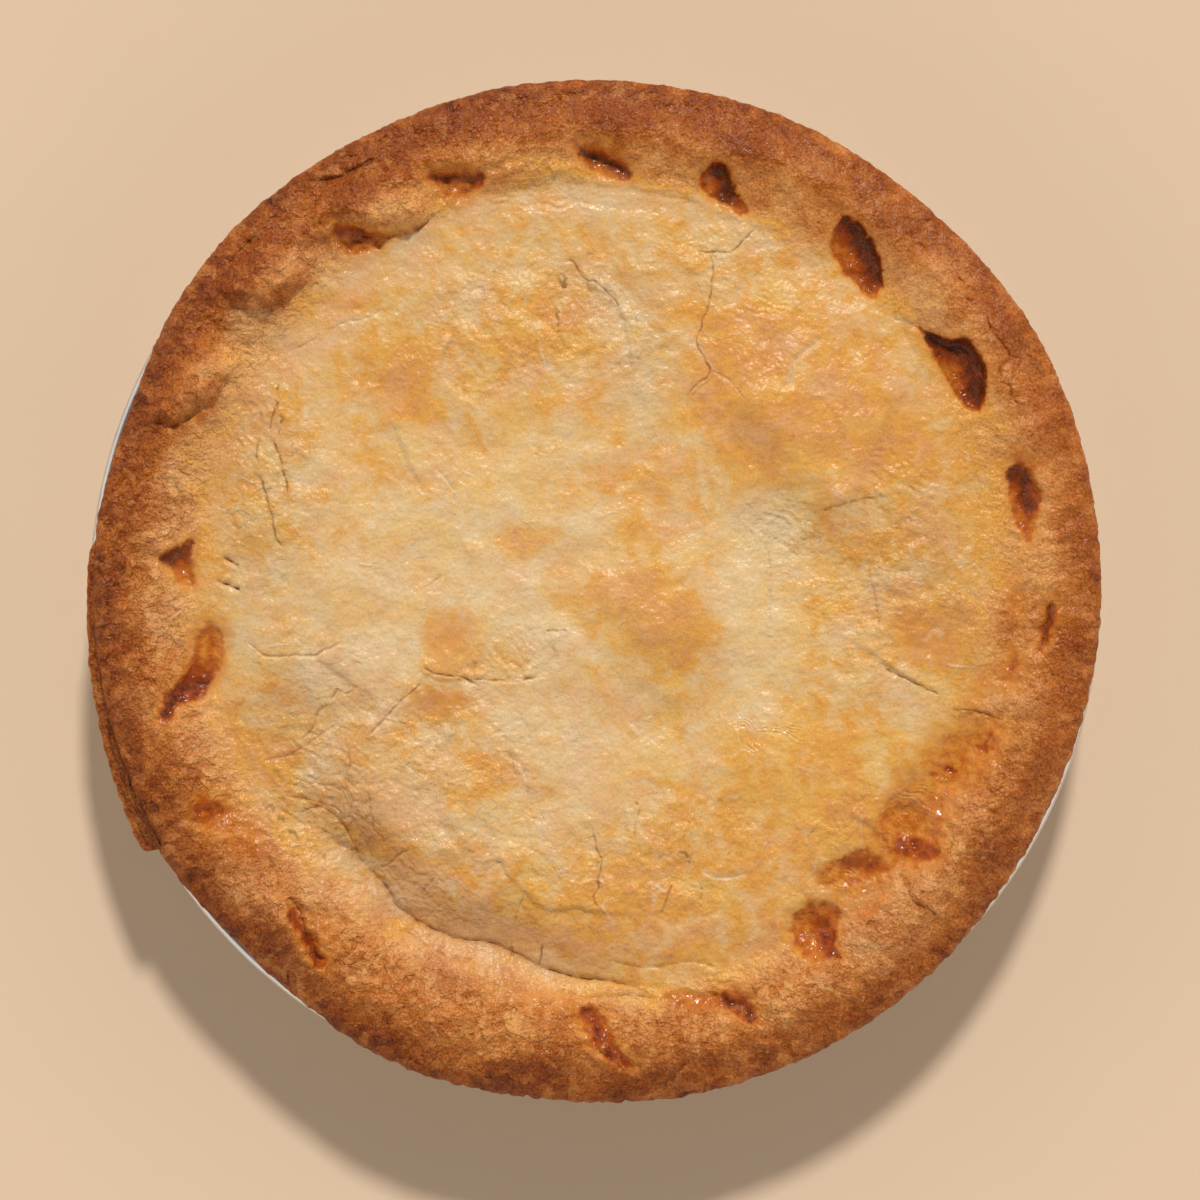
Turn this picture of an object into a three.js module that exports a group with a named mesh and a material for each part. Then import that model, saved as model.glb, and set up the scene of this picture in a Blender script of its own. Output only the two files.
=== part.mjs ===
// Pot pie in its aluminium tin.
// A round, double-crusted pie with a hand-crimped rim, uncut, standing in the
// shallow tin it was baked in. Millimetres, +Z up; the origin is the middle of
// the tin's flat base, on the surface it stands on.
//
// Two solids: the baked pie (pastry and filling are one body, since an uncut
// pie shows nothing inside) and the pressed tin around it.

import * as THREE from 'three';

// ---------------------------------------------------------------- tin sizes
const SHEET = 0.6;            // wall of the tin
const BASE_R = 91.0;          // flat standing face
const FLOOR_CORNER = 3.0;     // rounding between base and wall
const WALL_TOP_R = 111.4;     // inside of the wall where it meets the flange
const FLANGE_Z = 31.6;        // top of the flange
const BEAD_R = 1.7;           // rolled edge, radius of the roll
const BEAD_CENTRE_R = 120.5;  // middle of the roll
const BEAD_CENTRE_Z = 30.4;

// ---------------------------------------------------------------- pie sizes
const GAP = 0.35;             // clearance between pastry and tin
const CRUST_R = 122.6;        // mean radius of the baked edge
// out-of-round of the edge: [waves round the edge, amplitude mm, phase deg]
const EDGE_WAVES = [
  [1, 0.67, 111], [2, 0.72, 160], [3, 0.35, 79], [4, 0.38, 60],
  [6, 0.21, 48], [7, 0.20, -116], [10, 0.23, -68],
];
const EDGE_Z = 35.4;          // widest line of the rounded edge
const MID_Z = 40.2;           // level of the lid beside the rim
const ROLL_W = 13.0;          // from the edge to the crest of the rim
const CREST_RISE = 1.7;       // crest of the rim above the lid beside it
const CREST_W = 7.0;
const DOME_RISE = 2.4;        // the lid's rise to its middle
const DOME_R = 96.0;

// the groove between rim and lid: deep at the lower left, faint elsewhere
const GROOVE_R = 92.5;
const GROOVE_PULL = 7.0;      // how far it runs inward where it is deepest
const GROOVE_W = 7.5;
const GROOVE_FAINT = 0.5;
const GROOVE_DEEP = 3.6;
const GROOVE_AT = 232;        // direction of the deepest stretch, deg
const GROOVE_SPAN = 46;       // half of the deep stretch, deg

// the lower pastry layer that stands out past the upper one on the left
const FLAP_FROM = 171;        // deg
const FLAP_TO = 211;
const FLAP_R0 = 122.3;        // outer radius at its start and at its broken end
const FLAP_R1 = 126.0;
const FLAP_TOP_Z = 34.3;
const FLAP_LOW_Z = 32.0;
const FLAP_SETBACK = 1.5;     // upper layer drawn back above the flap

// stretches where the edge is drawn in (+) or stands out (-)
// [direction deg, half angle deg, depth]
const EDGE_DENTS = [
  [163, 11, 1.3],
  [229, 12.5, 1.15],
  [331, 15, -0.55],
  [305, 12, -0.75],
];

// pressed crimps: dimples along the inner side of the rim
// [direction deg, radius, length, width, turn from tangential deg, depth]
const CRIMPS = [
  [124.0, 103.0, 13, 6, 12, 2.0],
  [108.5, 105.0, 12, 7, 8, 2.2],
  [89.3, 104.0, 14, 7, 18, 2.0],
  [72.6, 102.0, 11, 9, 52, 2.4],
  [52.2, 103.0, 19, 9, 24, 2.6],
  [31.4, 102.5, 18, 11, 22, 2.6],
  [13.5, 105.5, 16, 8, 6, 2.0],
  [355.8, 109.0, 12, 6, 10, 1.4],
  [336.4, 97.0, 13, 8, -20, 1.3],
  [323.8, 92.5, 15, 11, -30, 1.6],
  [312.0, 90.0, 14, 7, 30, 1.2],
  [303.2, 97.0, 13, 10, -10, 1.8],
  [288.9, 104.0, 12, 6, 25, 1.2],
  [269.3, 102.5, 12, 6, -30, 1.2],
  [230.9, 107.5, 15, 5, 62, 1.8],
  [209.8, 107.5, 12, 8, 40, 1.0],
  [190.1, 98.6, 22, 8, -22, 1.6],
  [175.8, 100.5, 9, 6, -70, 1.3],
];

// raised folds of the rim between crimps
// [direction deg, radius, length, width, turn from tangential deg, height]
const FOLDS = [
  [119.4, 105.5, 24, 13, 2, 3.4],
  [136.0, 109.0, 23, 14, 0, 3.2],
  [152.8, 108.0, 23, 14, -2, 3.2],
  [98.5, 108.0, 22, 12, 0, 1.6],
  [80.5, 110.0, 22, 12, 0, 1.3],
  [62.5, 112.0, 24, 12, 0, 1.3],
  [41.8, 112.0, 26, 13, 0, 1.4],
  [22.5, 112.5, 24, 13, 0, 1.3],
  [345.0, 108.0, 26, 14, 0, 1.1],
  [330.0, 108.5, 24, 14, 0, 1.1],
  [296.0, 109.5, 24, 14, 0, 1.3],
  [279.0, 110.5, 22, 13, 0, 1.1],
  [252.0, 110.0, 34, 14, 0, 0.9],
  [220.0, 110.5, 26, 13, 0, 0.9],
  [199.5, 110.0, 26, 13, 0, 0.9],
];

// broad swells (+) and hollows (-) of the lid
// [x, y, half length, half width, turn deg, height]
const SWELLS = [
  [47, 46, 27, 17, -30, 1.8],
  [40, 12, 22, 12, -28, -1.5],
  [7, -8, 16, 12, -15, 1.2],
  [21, -28, 14, 9, 25, -1.7],
  [-29, -48, 32, 22, -35, 1.5],
  [-69, -33, 14, 10, 10, -1.8],
  [-64, 8, 24, 26, 0, 1.1],
  [-19, 62, 24, 16, 0, 0.9],
  [6, 72, 5, 16, 25, -1.2],
  [78, -14, 18, 22, 20, 0.8],
  [30, -62, 34, 18, 10, 0.9],
];

// ------------------------------------------------------------ pie, upper face
const rad = (deg) => (deg * Math.PI) / 180;

// signed difference of two directions, -180..180
const turnBetween = (a, b) => ((((a - b) % 360) + 540) % 360) - 180;

// smooth 0..1 step
const ease = (t) => {
  const c = Math.min(1, Math.max(0, t));
  return c * c * (3 - 2 * c);
};

const onFlap = (deg) => {
  const d = ((deg % 360) + 360) % 360;
  return ease((d - FLAP_FROM) / 5) * (1 - ease((d - FLAP_TO + 2) / 2));
};

// radius of the upper crust's edge
function edgeRadius(deg) {
  let r = CRUST_R;
  for (const [n, amp, phase] of EDGE_WAVES) r += amp * Math.cos(n * rad(deg) - rad(phase));
  for (const [at, half, depth] of EDGE_DENTS) r -= depth * Math.exp(-((turnBetween(deg, at) / half) ** 4));
  return r - FLAP_SETBACK * onFlap(deg);
}

// radius of the lower layer, which only stands out along the flap
function flapRadius(deg) {
  const d = ((deg % 360) + 360) % 360;
  const t = Math.min(1, Math.max(0, (d - FLAP_FROM) / (FLAP_TO - FLAP_FROM)));
  const out = FLAP_R0 + (FLAP_R1 - FLAP_R0) * Math.pow(t, 1.6);
  return THREE.MathUtils.lerp(edgeRadius(deg) - 0.5, out, onFlap(deg));
}

// soft oval bump of height 1 at (cx, cy), its long side turned by `turn`
function oval(x, y, cx, cy, halfLong, halfWide, turn) {
  const c = Math.cos(rad(turn));
  const s = Math.sin(rad(turn));
  const u = ((x - cx) * c + (y - cy) * s) / halfLong;
  const v = (-(x - cx) * s + (y - cy) * c) / halfWide;
  return Math.exp(-(u * u + v * v));
}

function topHeight(r, deg) {
  const x = r * Math.cos(rad(deg));
  const y = r * Math.sin(rad(deg));
  const edge = edgeRadius(deg);
  const inset = edge - r;                       // distance in from the edge
  let z = MID_Z;

  z += DOME_RISE * (1 - ease(r / DOME_R));
  z += CREST_RISE * Math.exp(-(((inset - ROLL_W) / CREST_W) ** 2));

  const deep = Math.exp(-((turnBetween(deg, GROOVE_AT) / GROOVE_SPAN) ** 2));
  const grooveR = GROOVE_R - GROOVE_PULL * deep;
  const groove = GROOVE_FAINT + (GROOVE_DEEP - GROOVE_FAINT) * deep;
  z -= groove * Math.exp(-(((r - grooveR) / GROOVE_W) ** 2));

  for (const [cx, cy, a, b, turn, h] of SWELLS) z += h * oval(x, y, cx, cy, a, b, turn);
  for (const [at, cr, long, wide, turn, h] of FOLDS) {
    z += h * oval(x, y, cr * Math.cos(rad(at)), cr * Math.sin(rad(at)), long / 2, wide / 2, at - 90 + turn);
  }
  for (const [at, cr, long, wide, turn, h] of CRIMPS) {
    z -= h * oval(x, y, cr * Math.cos(rad(at)), cr * Math.sin(rad(at)), long / 2, wide / 2, at - 90 - turn);
  }

  // the edge rolls over: a quarter of an ellipse down to the widest line
  if (inset < ROLL_W) {
    const t = 1 - Math.max(0, inset) / ROLL_W;
    z = EDGE_Z + (z - EDGE_Z) * Math.sqrt(Math.max(0, 1 - t ** 2.3));
  }
  return z;
}

// ------------------------------------------------------------- ring skinning
// A closed body made of rings of points. Neighbouring rings have the same
// number of points or one has twice as many as the other.
class RingSkin {
  constructor() {
    this.points = [];
    this.faces = [];
  }

  vertex(x, y, z) {
    this.points.push(x, y, z);
    return this.points.length / 3 - 1;
  }

  ring(count, at) {
    const ids = [];
    for (let i = 0; i < count; i++) {
      const deg = (360 * i) / count;
      const [r, z] = at(deg);
      ids.push(this.vertex(r * Math.cos(rad(deg)), r * Math.sin(rad(deg)), z));
    }
    return ids;
  }

  // fan round a centre point; `up` when the fan faces +Z
  cap(centre, ring, up) {
    for (let i = 0; i < ring.length; i++) {
      const a = ring[i];
      const b = ring[(i + 1) % ring.length];
      this.faces.push(...(up ? [centre, a, b] : [centre, b, a]));
    }
  }

  // strip from one ring to the next one met when going outward over the top
  strip(from, to) {
    if (from.length === to.length) {
      const n = from.length;
      for (let i = 0; i < n; i++) {
        const j = (i + 1) % n;
        this.faces.push(from[i], to[i], to[j], from[i], to[j], from[j]);
      }
    } else if (to.length === 2 * from.length) {
      const n = from.length;
      const m = to.length;
      for (let i = 0; i < n; i++) {
        const j = (i + 1) % n;
        const p = to[2 * i];
        const q = to[2 * i + 1];
        const s = to[(2 * i + 2) % m];
        this.faces.push(from[i], p, q, from[i], q, from[j], q, s, from[j]);
      }
    } else {
      const n = to.length;
      const m = from.length;
      for (let i = 0; i < n; i++) {
        const j = (i + 1) % n;
        const p = from[2 * i];
        const q = from[2 * i + 1];
        const s = from[(2 * i + 2) % m];
        this.faces.push(to[i], q, p, to[i], to[j], q, q, to[j], s);
      }
    }
  }

  geometry() {
    const g = new THREE.BufferGeometry();
    g.setAttribute('position', new THREE.Float32BufferAttribute(this.points, 3));
    g.setIndex(this.faces);
    g.computeVertexNormals();
    return g;
  }
}

// inside of the tin's wall at height z
const wallFoot = [BASE_R + FLOOR_CORNER * 0.9, SHEET + FLOOR_CORNER];
function wallInside(z) {
  const t = (z - wallFoot[1]) / (FLANGE_Z - 1.0 - wallFoot[1]);
  return wallFoot[0] + (WALL_TOP_R - wallFoot[0]) * t;
}

function pieGeometry() {
  const FULL = 144;
  const skin = new RingSkin();

  // lid and rim: [share of the edge radius, points round]
  const rows = [
    [0.07, FULL / 8], [0.14, FULL / 4], [0.22, FULL / 4], [0.30, FULL / 2], [0.38, FULL / 2],
    [0.46, FULL / 2], [0.54, FULL / 2], [0.61, FULL], [0.67, FULL], [0.72, FULL], [0.765, FULL],
    [0.805, FULL], [0.84, FULL], [0.872, FULL], [0.902, FULL], [0.932, FULL], [0.958, FULL],
    [0.978, FULL], [0.992, FULL], [1.0, FULL],
  ];
  const apex = skin.vertex(0, 0, topHeight(0, 0));
  let last = null;
  for (const [share, count] of rows) {
    const ring = skin.ring(count, (deg) => {
      const r = share * edgeRadius(deg);
      return [r, topHeight(r, deg)];
    });
    if (last) skin.strip(last, ring);
    else skin.cap(apex, ring, true);
    last = ring;
  }

  // under the edge: a tuck above the flap, the flap's own edge, then back in
  // over the rolled edge of the tin and along its flange
  const restZ = BEAD_CENTRE_Z + BEAD_R + GAP;
  const flangeZ = FLANGE_Z + GAP;
  const under = [
    [FULL, (deg) => [edgeRadius(deg) - 0.2 - 0.9 * onFlap(deg), THREE.MathUtils.lerp(EDGE_Z - 0.7, FLAP_TOP_Z + 0.3, onFlap(deg))]],
    [FULL, (deg) => [flapRadius(deg), THREE.MathUtils.lerp(EDGE_Z - 1.4, FLAP_TOP_Z, onFlap(deg))]],
    [FULL, (deg) => [flapRadius(deg) - 0.3, THREE.MathUtils.lerp(restZ + 0.9, FLAP_LOW_Z, onFlap(deg))]],
    [FULL, (deg) => [edgeRadius(deg) - 1.6, restZ + 0.15]],
    [FULL / 2, () => [BEAD_CENTRE_R - BEAD_R - 0.4, restZ]],
    [FULL / 2, () => [WALL_TOP_R + 0.9, flangeZ + 0.15]],
    [FULL / 2, () => [wallInside(FLANGE_Z - 1.4) - GAP, FLANGE_Z - 1.4]],
    [FULL / 2, () => [wallInside(wallFoot[1] + 0.6) - GAP, wallFoot[1] + 0.6]],
    [FULL / 2, () => [BASE_R - GAP, SHEET + GAP]],
  ];
  for (const [count, at] of under) {
    const ring = skin.ring(count, at);
    skin.strip(last, ring);
    last = ring;
  }
  const foot = skin.vertex(0, 0, SHEET + GAP);
  skin.cap(foot, last, false);
  return skin.geometry();
}

// ------------------------------------------------------------------------ tin
function tinGeometry() {
  const FULL = 72;
  const outerShift = SHEET * 0.85;       // sheet thickness measured across the sloping wall
  const profile = [];
  const put = (r, z) => profile.push(new THREE.Vector2(r, z));

  // outside: base, corner, wall, underside of the flange
  put(0, 0);
  put(BASE_R, 0);
  for (const a of [30, 60]) {
    put(BASE_R + (FLOOR_CORNER * 0.9 + outerShift) * Math.sin(rad(a)) * 0.92,
      (SHEET + FLOOR_CORNER - 0.2) * (1 - Math.cos(rad(a))));
  }
  put(wallInside(wallFoot[1] + 0.5) + outerShift, wallFoot[1] + 0.5);
  put(wallInside(FLANGE_Z - 2.2) + outerShift, FLANGE_Z - 2.2);
  put(WALL_TOP_R + 1.5, FLANGE_Z - SHEET);
  // round the rolled edge, from its inner foot to its top
  for (const a of [160, 200, 240, 280, 320, 0, 40, 80]) {
    put(BEAD_CENTRE_R + BEAD_R * Math.cos(rad(a)), BEAD_CENTRE_Z + BEAD_R * Math.sin(rad(a)));
  }
  // inside: flange, wall, corner, floor
  put(BEAD_CENTRE_R - BEAD_R - 0.2, FLANGE_Z);
  put(WALL_TOP_R + 1.0, FLANGE_Z);
  put(wallInside(FLANGE_Z - 1.0), FLANGE_Z - 1.0);
  put(wallInside(wallFoot[1]), wallFoot[1]);
  put(BASE_R + FLOOR_CORNER * 0.45, SHEET + FLOOR_CORNER * 0.3);
  put(BASE_R, SHEET);
  put(0, SHEET);

  const g = new THREE.LatheGeometry(profile, FULL);
  g.rotateX(Math.PI / 2);
  return g;
}

// ------------------------------------------------------------------- assembly
const pastry = new THREE.MeshStandardMaterial({ color: 0xd9a566, roughness: 0.55, metalness: 0.0 });
const foil = new THREE.MeshStandardMaterial({ color: 0xd3d4d6, roughness: 0.32, metalness: 1.0 });

const pie = new THREE.Mesh(pieGeometry(), pastry);
pie.name = 'pie';
const tin = new THREE.Mesh(tinGeometry(), foil);
tin.name = 'tin';

const potPie = new THREE.Group();
potPie.add(tin, pie);

export default potPie;
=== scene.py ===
"""Pot pie in its aluminium tin: the finished look.

The crust is one closed mesh: a fine triangulated upper face whose relief and
browning are worked out from the pie's sizes and from tables of its folds,
crimps, creases and glazed spots, then the rolled edge, the underside and the
part that sits in the tin. Lengths are in millimetres until a mesh is made.
"""

import math

import bpy
import numpy as np
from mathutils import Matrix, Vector
from mathutils.geometry import delaunay_2d_cdt
from mathutils.kdtree import KDTree


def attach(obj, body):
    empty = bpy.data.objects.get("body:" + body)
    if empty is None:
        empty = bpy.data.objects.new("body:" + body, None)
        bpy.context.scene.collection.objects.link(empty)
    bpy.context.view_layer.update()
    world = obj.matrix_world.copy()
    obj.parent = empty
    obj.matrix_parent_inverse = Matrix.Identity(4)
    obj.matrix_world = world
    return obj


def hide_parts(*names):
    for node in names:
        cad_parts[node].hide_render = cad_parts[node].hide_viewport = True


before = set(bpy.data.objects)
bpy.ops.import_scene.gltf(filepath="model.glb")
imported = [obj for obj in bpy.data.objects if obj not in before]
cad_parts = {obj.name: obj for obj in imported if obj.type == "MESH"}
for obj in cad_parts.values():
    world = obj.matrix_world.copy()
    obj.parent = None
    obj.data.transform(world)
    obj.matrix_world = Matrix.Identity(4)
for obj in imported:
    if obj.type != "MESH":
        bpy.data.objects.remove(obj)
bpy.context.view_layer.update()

# ------------------------------------------------------------------ sizes, mm
CRUST_R = 122.6
EDGE_WAVES = [
    (1, 0.67, 111), (2, 0.72, 160), (3, 0.35, 79), (4, 0.38, 60),
    (6, 0.21, 48), (7, 0.20, -116), (10, 0.23, -68),
]
EDGE_DENTS = [(163, 11, 1.3), (229, 12.5, 1.15), (331, 15, -0.55), (305, 12, -0.75)]   # where the tin shows [direction, half angle, depth]
EDGE_Z = 35.4
MID_Z = 40.2
ROLL_W = 13.0
CREST_RISE = 1.7
CREST_W = 7.0
DOME_RISE = 2.4
DOME_R = 96.0

FLAP_FROM, FLAP_TO = 171.0, 211.0
FLAP_R0, FLAP_R1 = 122.3, 126.0
FLAP_TOP_Z, FLAP_LOW_Z = 34.3, 32.0
FLAP_SETBACK = 1.5

SHEET = 0.6
BASE_R = 91.0
FLOOR_CORNER = 3.0
WALL_TOP_R = 111.4
FLANGE_Z = 31.6
BEAD_R = 1.7
BEAD_CENTRE_R, BEAD_CENTRE_Z = 120.5, 30.4
GAP = 0.35

# positions on the crust are read in units of 1/4.16 mm from the upper left of
# a square that frames the pie, as seen from straight above
UNIT = 4.16
MIDDLE = (595.0, 593.0)


def pt(u, v):
    return ((u - MIDDLE[0]) / UNIT, (MIDDLE[1] - v) / UNIT)


# --------------------------------------------------------------- small maths
def ease(t):
    t = np.clip(t, 0.0, 1.0)
    return t * t * (3 - 2 * t)


def span(a, b, t):
    """0 below a, 1 above b, smooth between."""
    return ease((t - a) / (b - a))


def turn_between(a, b):
    return (a - b + 540.0) % 360.0 - 180.0


def cell_hash(ix, iy, seed):
    n = (ix.astype(np.int64) * 374761393 + iy.astype(np.int64) * 668265263 + seed * 974711) & 0xFFFFFFFF
    n = ((n ^ (n >> 13)) * 1274126177) & 0xFFFFFFFF
    n = ((n ^ (n >> 15)) * 668265263) & 0xFFFFFFFF
    return ((n ^ (n >> 16)) & 0xFFFFFFFF) / 4294967295.0


def noise(x, y, seed=0):
    """Gradient noise, about -1 to 1."""
    x0, y0 = np.floor(x), np.floor(y)
    fx, fy = x - x0, y - y0
    u = fx * fx * fx * (fx * (fx * 6 - 15) + 10)
    v = fy * fy * fy * (fy * (fy * 6 - 15) + 10)

    def corner(dx, dy):
        a = cell_hash(x0 + dx, y0 + dy, seed) * (2 * math.pi)
        return np.cos(a) * (fx - dx) + np.sin(a) * (fy - dy)

    low = corner(0, 0) * (1 - u) + corner(1, 0) * u
    high = corner(0, 1) * (1 - u) + corner(1, 1) * u
    return (low * (1 - v) + high * v) * 1.5


def fbm(x, y, octaves=3, seed=0, gain=0.5):
    total, amp, norm = 0.0, 1.0, 0.0
    for k in range(octaves):
        total = total + amp * noise(x, y, seed + 17 * k)
        norm += amp
        amp *= gain
        x, y = x * 2.03 + 5.2, y * 2.03 - 3.7
    return total / norm


def flakes(x, y, size, seed):
    """Uneven cells about `size` across: a value from 0 to 1 for each cell, and the distance
    to the nearest border in mm, negative on the side that lies lower."""
    x, y = x / size[0], y / size[1]
    x0, y0 = np.floor(x), np.floor(y)
    near, next_near = np.full(x.shape, 1e9), np.full(x.shape, 1e9)
    value, other = np.zeros(x.shape), np.zeros(x.shape)
    for dx in (-1, 0, 1):
        for dy in (-1, 0, 1):
            ix, iy = x0 + dx, y0 + dy
            d = (ix + cell_hash(ix, iy, seed) - x) ** 2 + (iy + cell_hash(ix, iy, seed + 1) - y) ** 2
            v = cell_hash(ix, iy, seed + 2)
            first, second = d < near, (d >= near) & (d < next_near)
            other = np.where(first, value, np.where(second, v, other))
            next_near = np.where(first, near, np.where(second, d, next_near))
            value = np.where(first, v, value)
            near = np.where(first, d, near)
    border = (np.sqrt(next_near) - np.sqrt(near)) * 0.25 * (size[0] + size[1])
    return value, np.where(value > other, border, -border)


def oval(x, y, cx, cy, half_long, half_wide, turn):
    """Squared distance from an oval's middle, 1 on its edge."""
    c, s = math.cos(math.radians(turn)), math.sin(math.radians(turn))
    u = ((x - cx) * c + (y - cy) * s) / half_long
    v = (-(x - cx) * s + (y - cy) * c) / half_wide
    return u * u + v * v


# ------------------------------------------------------------------ polylines
def smooth_line(points, step=0.45, wander=0.0, seed=0):
    """A curve through the points, in mm, with points `step` apart."""
    p = np.array([pt(*q) for q in points], float)
    if len(p) > 2:
        ext = np.vstack([2 * p[0] - p[1], p, 2 * p[-1] - p[-2]])
        out = []
        for i in range(1, len(ext) - 2):
            a, b, c, d = ext[i - 1:i + 3]
            n = max(2, int(np.hypot(*(c - b)) / step * 2))
            t = np.linspace(0, 1, n, endpoint=False)[:, None]
            out.append(0.5 * (2 * b + (c - a) * t + (2 * a - 5 * b + 4 * c - d) * t ** 2 + (3 * b - a - 3 * c + d) * t ** 3))
        p = np.vstack(out + [p[-1:]])
    seg = np.hypot(*np.diff(p, axis=0).T)
    along = np.concatenate([[0], np.cumsum(seg)])
    n = max(3, int(along[-1] / step) + 1)
    s = np.linspace(0, along[-1], n)
    line = np.c_[np.interp(s, along, p[:, 0]), np.interp(s, along, p[:, 1])]
    if wander:
        line[:, 0] += wander * noise(s / 2.1, s * 0 + 3.3, seed + 1)
        line[:, 1] += wander * noise(s / 2.1, s * 0 + 9.1, seed + 2)
    return line


def beside(line, x, y, reach):
    """Points within reach of the line: their indices, distance, side (left is
    positive) and place along the line, 0 to 1."""
    lo, hi = line.min(0) - reach, line.max(0) + reach
    idx = np.nonzero((x > lo[0]) & (x < hi[0]) & (y > lo[1]) & (y < hi[1]))[0]
    if not len(idx):
        return idx, np.zeros(0), np.zeros(0), np.zeros(0)
    a, b = line[:-1], line[1:]
    d = b - a
    dd = np.maximum((d * d).sum(1), 1e-12)
    best = np.full(len(idx), 1e9)
    side = np.zeros(len(idx))
    place = np.zeros(len(idx))
    px, py = x[idx], y[idx]
    for k in range(len(a)):
        ux, uy = px - a[k, 0], py - a[k, 1]
        t = np.clip((ux * d[k, 0] + uy * d[k, 1]) / dd[k], 0, 1)
        qx, qy = ux - t * d[k, 0], uy - t * d[k, 1]
        dist = np.hypot(qx, qy)
        nearer = dist < best
        best[nearer] = dist[nearer]
        side[nearer] = np.sign(d[k, 0] * uy[nearer] - d[k, 1] * ux[nearer])
        place[nearer] = (k + t[nearer]) / len(a)
    keep = best < reach
    return idx[keep], best[keep], side[keep], place[keep]


def ends(place, share=0.12):
    return ease(place / share) * ease((1 - place) / share)


# ------------------------------------------------------------ crust features
# crimps [direction, radius, length, width, turn from tangential, depth]
CRIMPS = [
    (124.0, 103.0, 13, 6, 12, 1.2), (108.5, 105.0, 12, 7, 8, 1.5),
    (89.3, 104.0, 14, 7, 18, 1.8), (72.6, 102.0, 11, 9, 52, 2.0),
    (52.2, 103.0, 19, 9, 24, 2.0), (31.4, 102.5, 18, 11, 22, 2.0),
    (13.5, 105.5, 16, 8, 6, 1.6), (355.8, 109.0, 12, 6, 10, 1.4),
    (336.4, 97.0, 13, 8, -20, 1.0), (323.8, 92.5, 15, 11, -30, 1.2),
    (312.0, 90.0, 14, 7, 30, 0.9), (303.2, 97.0, 13, 10, -10, 1.4),
    (288.9, 104.0, 12, 6, 25, 1.1), (269.3, 102.5, 12, 6, -30, 1.2),
    (230.9, 107.5, 15, 5, 62, 1.2), (209.8, 107.5, 12, 8, 40, 1.0),
    (190.1, 98.6, 22, 8, -22, 1.4), (175.8, 100.5, 9, 6, -70, 1.3),
]
# raised folds of the rim, same columns, height last
FOLDS = [
    (103, 106, 22, 13, 0, 1.0), (120, 105.5, 21, 13, -8, 1.9), (136.5, 107, 20, 14, -8, 2.0), (153, 107, 22, 14, -8, 1.9),
    (111.5, 107, 15, 7, 90, -1.0), (128.5, 107, 17, 7, 90, -1.4), (145, 107.5, 17, 8, 90, -1.5),
    (118.8, 105.5, 26, 13, 10, 1.4), (135.2, 111.0, 24, 13, 6, 1.4),
    (152.5, 108.5, 24, 14, 4, 1.5), (97.5, 108.5, 22, 12, 0, 1.4),
    (80.5, 110.0, 22, 12, 0, 1.4), (62.5, 112.0, 24, 12, 0, 1.4),
    (41.8, 112.0, 26, 13, 0, 1.5), (22.5, 112.5, 24, 13, 0, 1.4),
    (345.0, 108.0, 26, 14, 0, 1.2), (330.0, 108.5, 24, 14, 0, 1.2),
    (296.0, 109.5, 24, 14, 0, 1.4), (279.0, 110.5, 22, 13, 0, 1.2),
    (252.0, 110.0, 34, 14, 0, 1.0), (220.0, 110.5, 26, 13, 0, 1.0),
    (199.5, 110.0, 26, 13, 0, 1.0),
]
# broad swells and hollows of the lid [x, y, half length, half width, turn, height]
SWELLS = [
    (42.5, -40, 12, 8, -10, 1.6), (47, 46, 27, 17, -30, 1.8), (40, 12, 22, 12, -28, -1.5), (7, -8, 16, 12, -15, 1.2),
    (21, -28, 14, 9, 25, -1.7), (-29, -48, 32, 22, -35, 1.5), (-69, -33, 14, 10, 10, -1.8),
    (-64, 8, 24, 26, 0, 1.1), (-19, 62, 24, 16, 0, 0.9), (6, 72, 5, 16, 25, -1.2),
    (78, -14, 18, 22, 20, 0.8), (30, -62, 34, 18, 10, 0.9),
]
# the crease where the lid drops to the foot of the rim, lower left
GROOVE = [
    (262, 778), (300, 814), (327, 835), (353, 851), (367, 868), (386, 888), (398, 908), (428, 928),
    (464, 941), (490, 944), (514, 954), (540, 968), (577, 979), (616, 982), (655, 986), (700, 988),
]
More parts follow.
